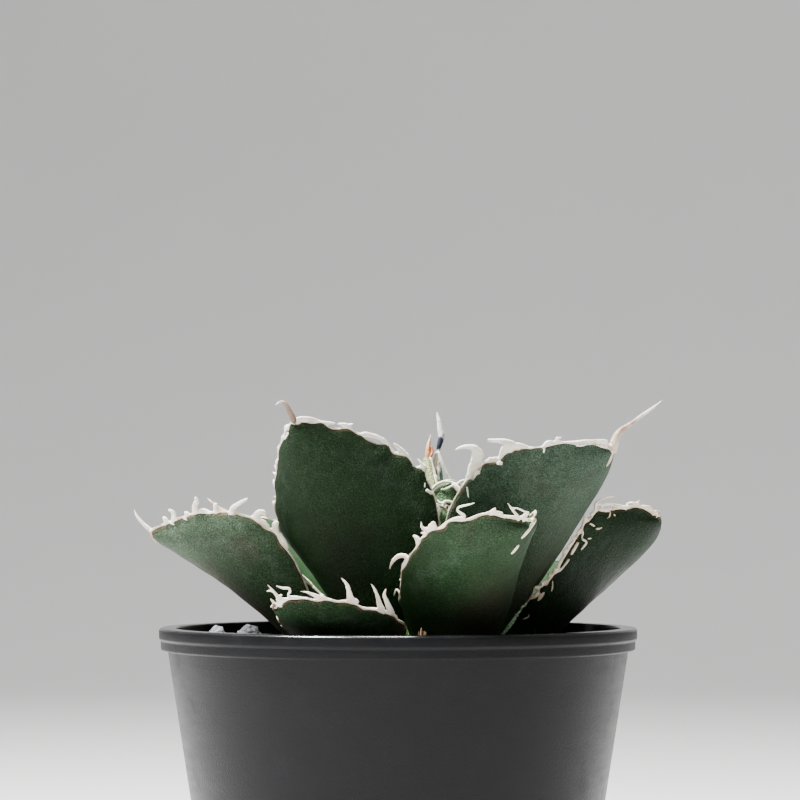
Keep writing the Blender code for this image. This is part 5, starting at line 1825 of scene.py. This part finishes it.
@dataclass
class Studio:
    """A seamless pale sweep, soft lights and the camera."""

    finish: StudioFinish
    camera_distance: float = 0.8
    eye_above_rim: float = 0.0275
    pitch: float = 3.15
    lens: float = 114.0

    def build(self) -> None:
        """Builds the stage, the lights and the camera."""
        arc = [(1.7 + 1.2 * math.sin(a), 1.2 * (1 - math.cos(a))) for a in np.linspace(0, math.pi / 2, 14)]
        rings = turned_rings([(0.001, 0.0), (0.5, 0.0), *arc, (2.9, 2.6)], 96)
        faces = tube_faces(len(rings), 96)[:-1]
        floor = make_object("studio_floor", rings.reshape(-1, 3), faces, turn_out=False)
        floor.location.z = -0.0001
        floor.data.materials.append(self.finish.material())
        floor.data.shade_smooth()
        world = bpy.data.worlds.new("studio_light")
        world.use_nodes = True
        world.node_tree.nodes["Background"].inputs["Color"].default_value = (0.93, 0.96, 1.0, 1)
        world.node_tree.nodes["Background"].inputs["Strength"].default_value = 0.22
        bpy.context.scene.world = world
        self._panel("key_panel", (-0.42, -0.20, 0.93), (0.012, 0, 0.14), 0.26, 58.0)
        self._panel("top_panel", (0.05, 0.12, 1.05), (0.012, 0, 0.14), 0.36, 28.0)
        self._panel("front_panel", (-0.6, -1.35, 0.55), (0.0, 0, 0.13), 0.8, 2.2)
        self._panel("backdrop_panel", (0.0, 1.0, 1.5), (0.0, 2.9, 0.4), 1.2, 7.0)
        data = bpy.data.cameras.new("photo_camera")
        data.lens = self.lens
        data.sensor_width = 36.0
        data.clip_start = 0.01
        camera = bpy.data.objects.new("photo_camera", data)
        camera.location = (0.0006, -self.camera_distance, POT_HEIGHT + self.eye_above_rim)
        camera.rotation_euler = (math.radians(90 + self.pitch), 0, 0)
        bpy.context.scene.collection.objects.link(camera)
        bpy.context.scene.camera = camera

    @staticmethod
    def _panel(name: str, place: tuple[float, float, float], aim: tuple[float, float, float], size: float,
               power: float) -> None:
        """Adds a square soft light that faces a point."""
        data = bpy.data.lights.new(name, "AREA")
        data.size = size
        data.energy = power
        lamp = bpy.data.objects.new(name, data)
        lamp.location = place
        lamp.rotation_euler = (Vector(aim) - Vector(place)).to_track_quat("-Z", "Y").to_euler()
        bpy.context.scene.collection.objects.link(lamp)


def spine_tones(base: Color, middle: Color, tip: Color = HornFinish.spine_tip,
                bands: tuple[float, float, float, float] = HornFinish.bands) -> dict[str, object]:
    """The colours of an end spine, as values of a horn finish."""
    return {"spine_base": base, "spine_middle": middle, "spine_tip": tip, "bands": bands}


def leaves(effects: Effects) -> list[AgaveLeaf]:
    """Every leaf of the rosette with its own finishes."""
    shown_horn = (
        spine_tones((0.66, 0.56, 0.43), (0.30, 0.19, 0.12), (0.80, 0.74, 0.65), (0.16, 0.40, 0.52, 0.74)),
        spine_tones((0.13, 0.085, 0.06), (0.18, 0.12, 0.085), (0.70, 0.62, 0.52), (0.20, 0.40, 0.55, 0.80)),
        {"chalk": (0.72, 0.63, 0.49)},
        {"spine_middle": (0.30, 0.17, 0.09), "chalk": (0.80, 0.72, 0.60)},
        spine_tones((0.36, 0.24, 0.15), (0.68, 0.60, 0.49), (0.76, 0.71, 0.63), (0.04, 0.22, 0.50, 0.90)),
        {"chalk": (0.80, 0.73, 0.62)})
    # Each leaf's light level below is painted shade: it darkens the leaves that face away from the light or
    # lie in the others' shadow.
    shown_green = (
        {"bloom_share": 0.95, "painted_light_level": 0.80, "brown_share": 0.3, "bloom": (0.074, 0.110, 0.080)},
        {"bloom_share": 0.62, "painted_light_level": 0.46},
        {"bloom_share": 0.45, "painted_light_level": 0.34},
        {"bloom_share": 0.65, "painted_light_level": 0.62, "brown_share": 0.5},
        {"bloom_share": 0.85, "painted_light_level": 1.0, "brown_share": 0.6, "bloom": (0.082, 0.108, 0.076)},
        {"bloom_share": 0.20, "painted_light_level": 0.5})
    heart_horn = (
        # bud_1's spine: its near-black bluish middle band is painted shadow.
        spine_tones((0.74, 0.66, 0.55), (0.012, 0.018, 0.035), (0.90, 0.89, 0.86), (0.22, 0.29, 0.52, 0.60)),
        spine_tones((0.42, 0.13, 0.045), (0.66, 0.30, 0.13), (0.85, 0.68, 0.52), (0.10, 0.30, 0.50, 0.90)),
        spine_tones((0.74, 0.69, 0.60), (0.74, 0.69, 0.60)),
        {},
        spine_tones((0.70, 0.62, 0.50), (0.50, 0.36, 0.24)))
    young = {"bloom_share": 0.5, "brown_share": 0.0, "painted_light_level": 1.0}
    heart_green = [{"deep": deep, "fresh": fresh, "bloom": bloom, **young} for deep, fresh, bloom in (
        ((0.10, 0.22, 0.17), (0.18, 0.34, 0.27), (0.30, 0.46, 0.42)),
        ((0.20, 0.26, 0.09), (0.34, 0.38, 0.15), (0.38, 0.44, 0.25)),
        ((0.045, 0.10, 0.035), (0.10, 0.19, 0.06), (0.14, 0.22, 0.14)),
        ((0.045, 0.10, 0.035), (0.10, 0.19, 0.06), (0.14, 0.22, 0.14)),
        ((0.07, 0.14, 0.05), (0.14, 0.24, 0.08), (0.18, 0.27, 0.17)))]
    shown = (FRONT_RIGHT, FRONT_LEFT, RIGHT_LOW, FRONT_MIDDLE, LEFT_HIGH, FRONT_LOW)
    groups = ((Detail.SHOWN, 31, shown, shown_green, shown_horn),
              (Detail.BEHIND, 51, BACK, [{}] * len(BACK), [{}] * len(BACK)),
              (Detail.YOUNG, 71, HEART, heart_green, heart_horn))
    out = []
    for detail, first_seed, forms, greens, horns in groups:
        for seed, (form, green, horn) in enumerate(zip(forms, greens, horns), first_seed):
            blade_finish = BladeFinish(form.name + "_green", effects, **green)
            horn_finish = HornFinish(form.name + "_horn", effects, **horn)
            out.append(AgaveLeaf(form, detail, blade_finish, horn_finish, seed))
    return out


def main() -> None:
    """Builds the looks over the frame, piece by piece."""
    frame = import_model()
    effects = Effects()
    Studio(StudioFinish("pale_floor", effects)).build()
    NurseryPot(PlasticFinish("black_plastic", effects)).build()
    PottingMix(GravelFinish("mineral_mix", effects)).build()
    pale = GravelFinish("speckled_pumice", effects, speck=(0.88, 0.89, 0.92), specks=0.95,
                        tones=((0.0, (0.10, 0.105, 0.115)), (0.9, (0.4, 0.4, 0.4))))
    Pebble("stone_1", -0.0478, 0.018, 0.0043, 1.12, pale).build()
    clear = GravelFinish("grey_pumice", effects, tones=((0.0, (0.13, 0.135, 0.15)), (0.9, (0.3, 0.3, 0.3))),
                         speck=(0.75, 0.76, 0.80))
    Pebble("stone_2", -0.0585, 0.022, 0.0030, 1.35, clear).build()
    stem = frame["nodes"]["stem"]
    stem.data.materials.clear()
    stem.data.materials.append(BarkFinish("crown_tissue", effects).material())
    DryBases(PaperFinish("dry_paper", effects)).build()
    for leaf in leaves(effects):
        leaf.build()


if __name__ == "__main__":
    logging.basicConfig(level=logging.INFO, format="%(message)s")
    main()
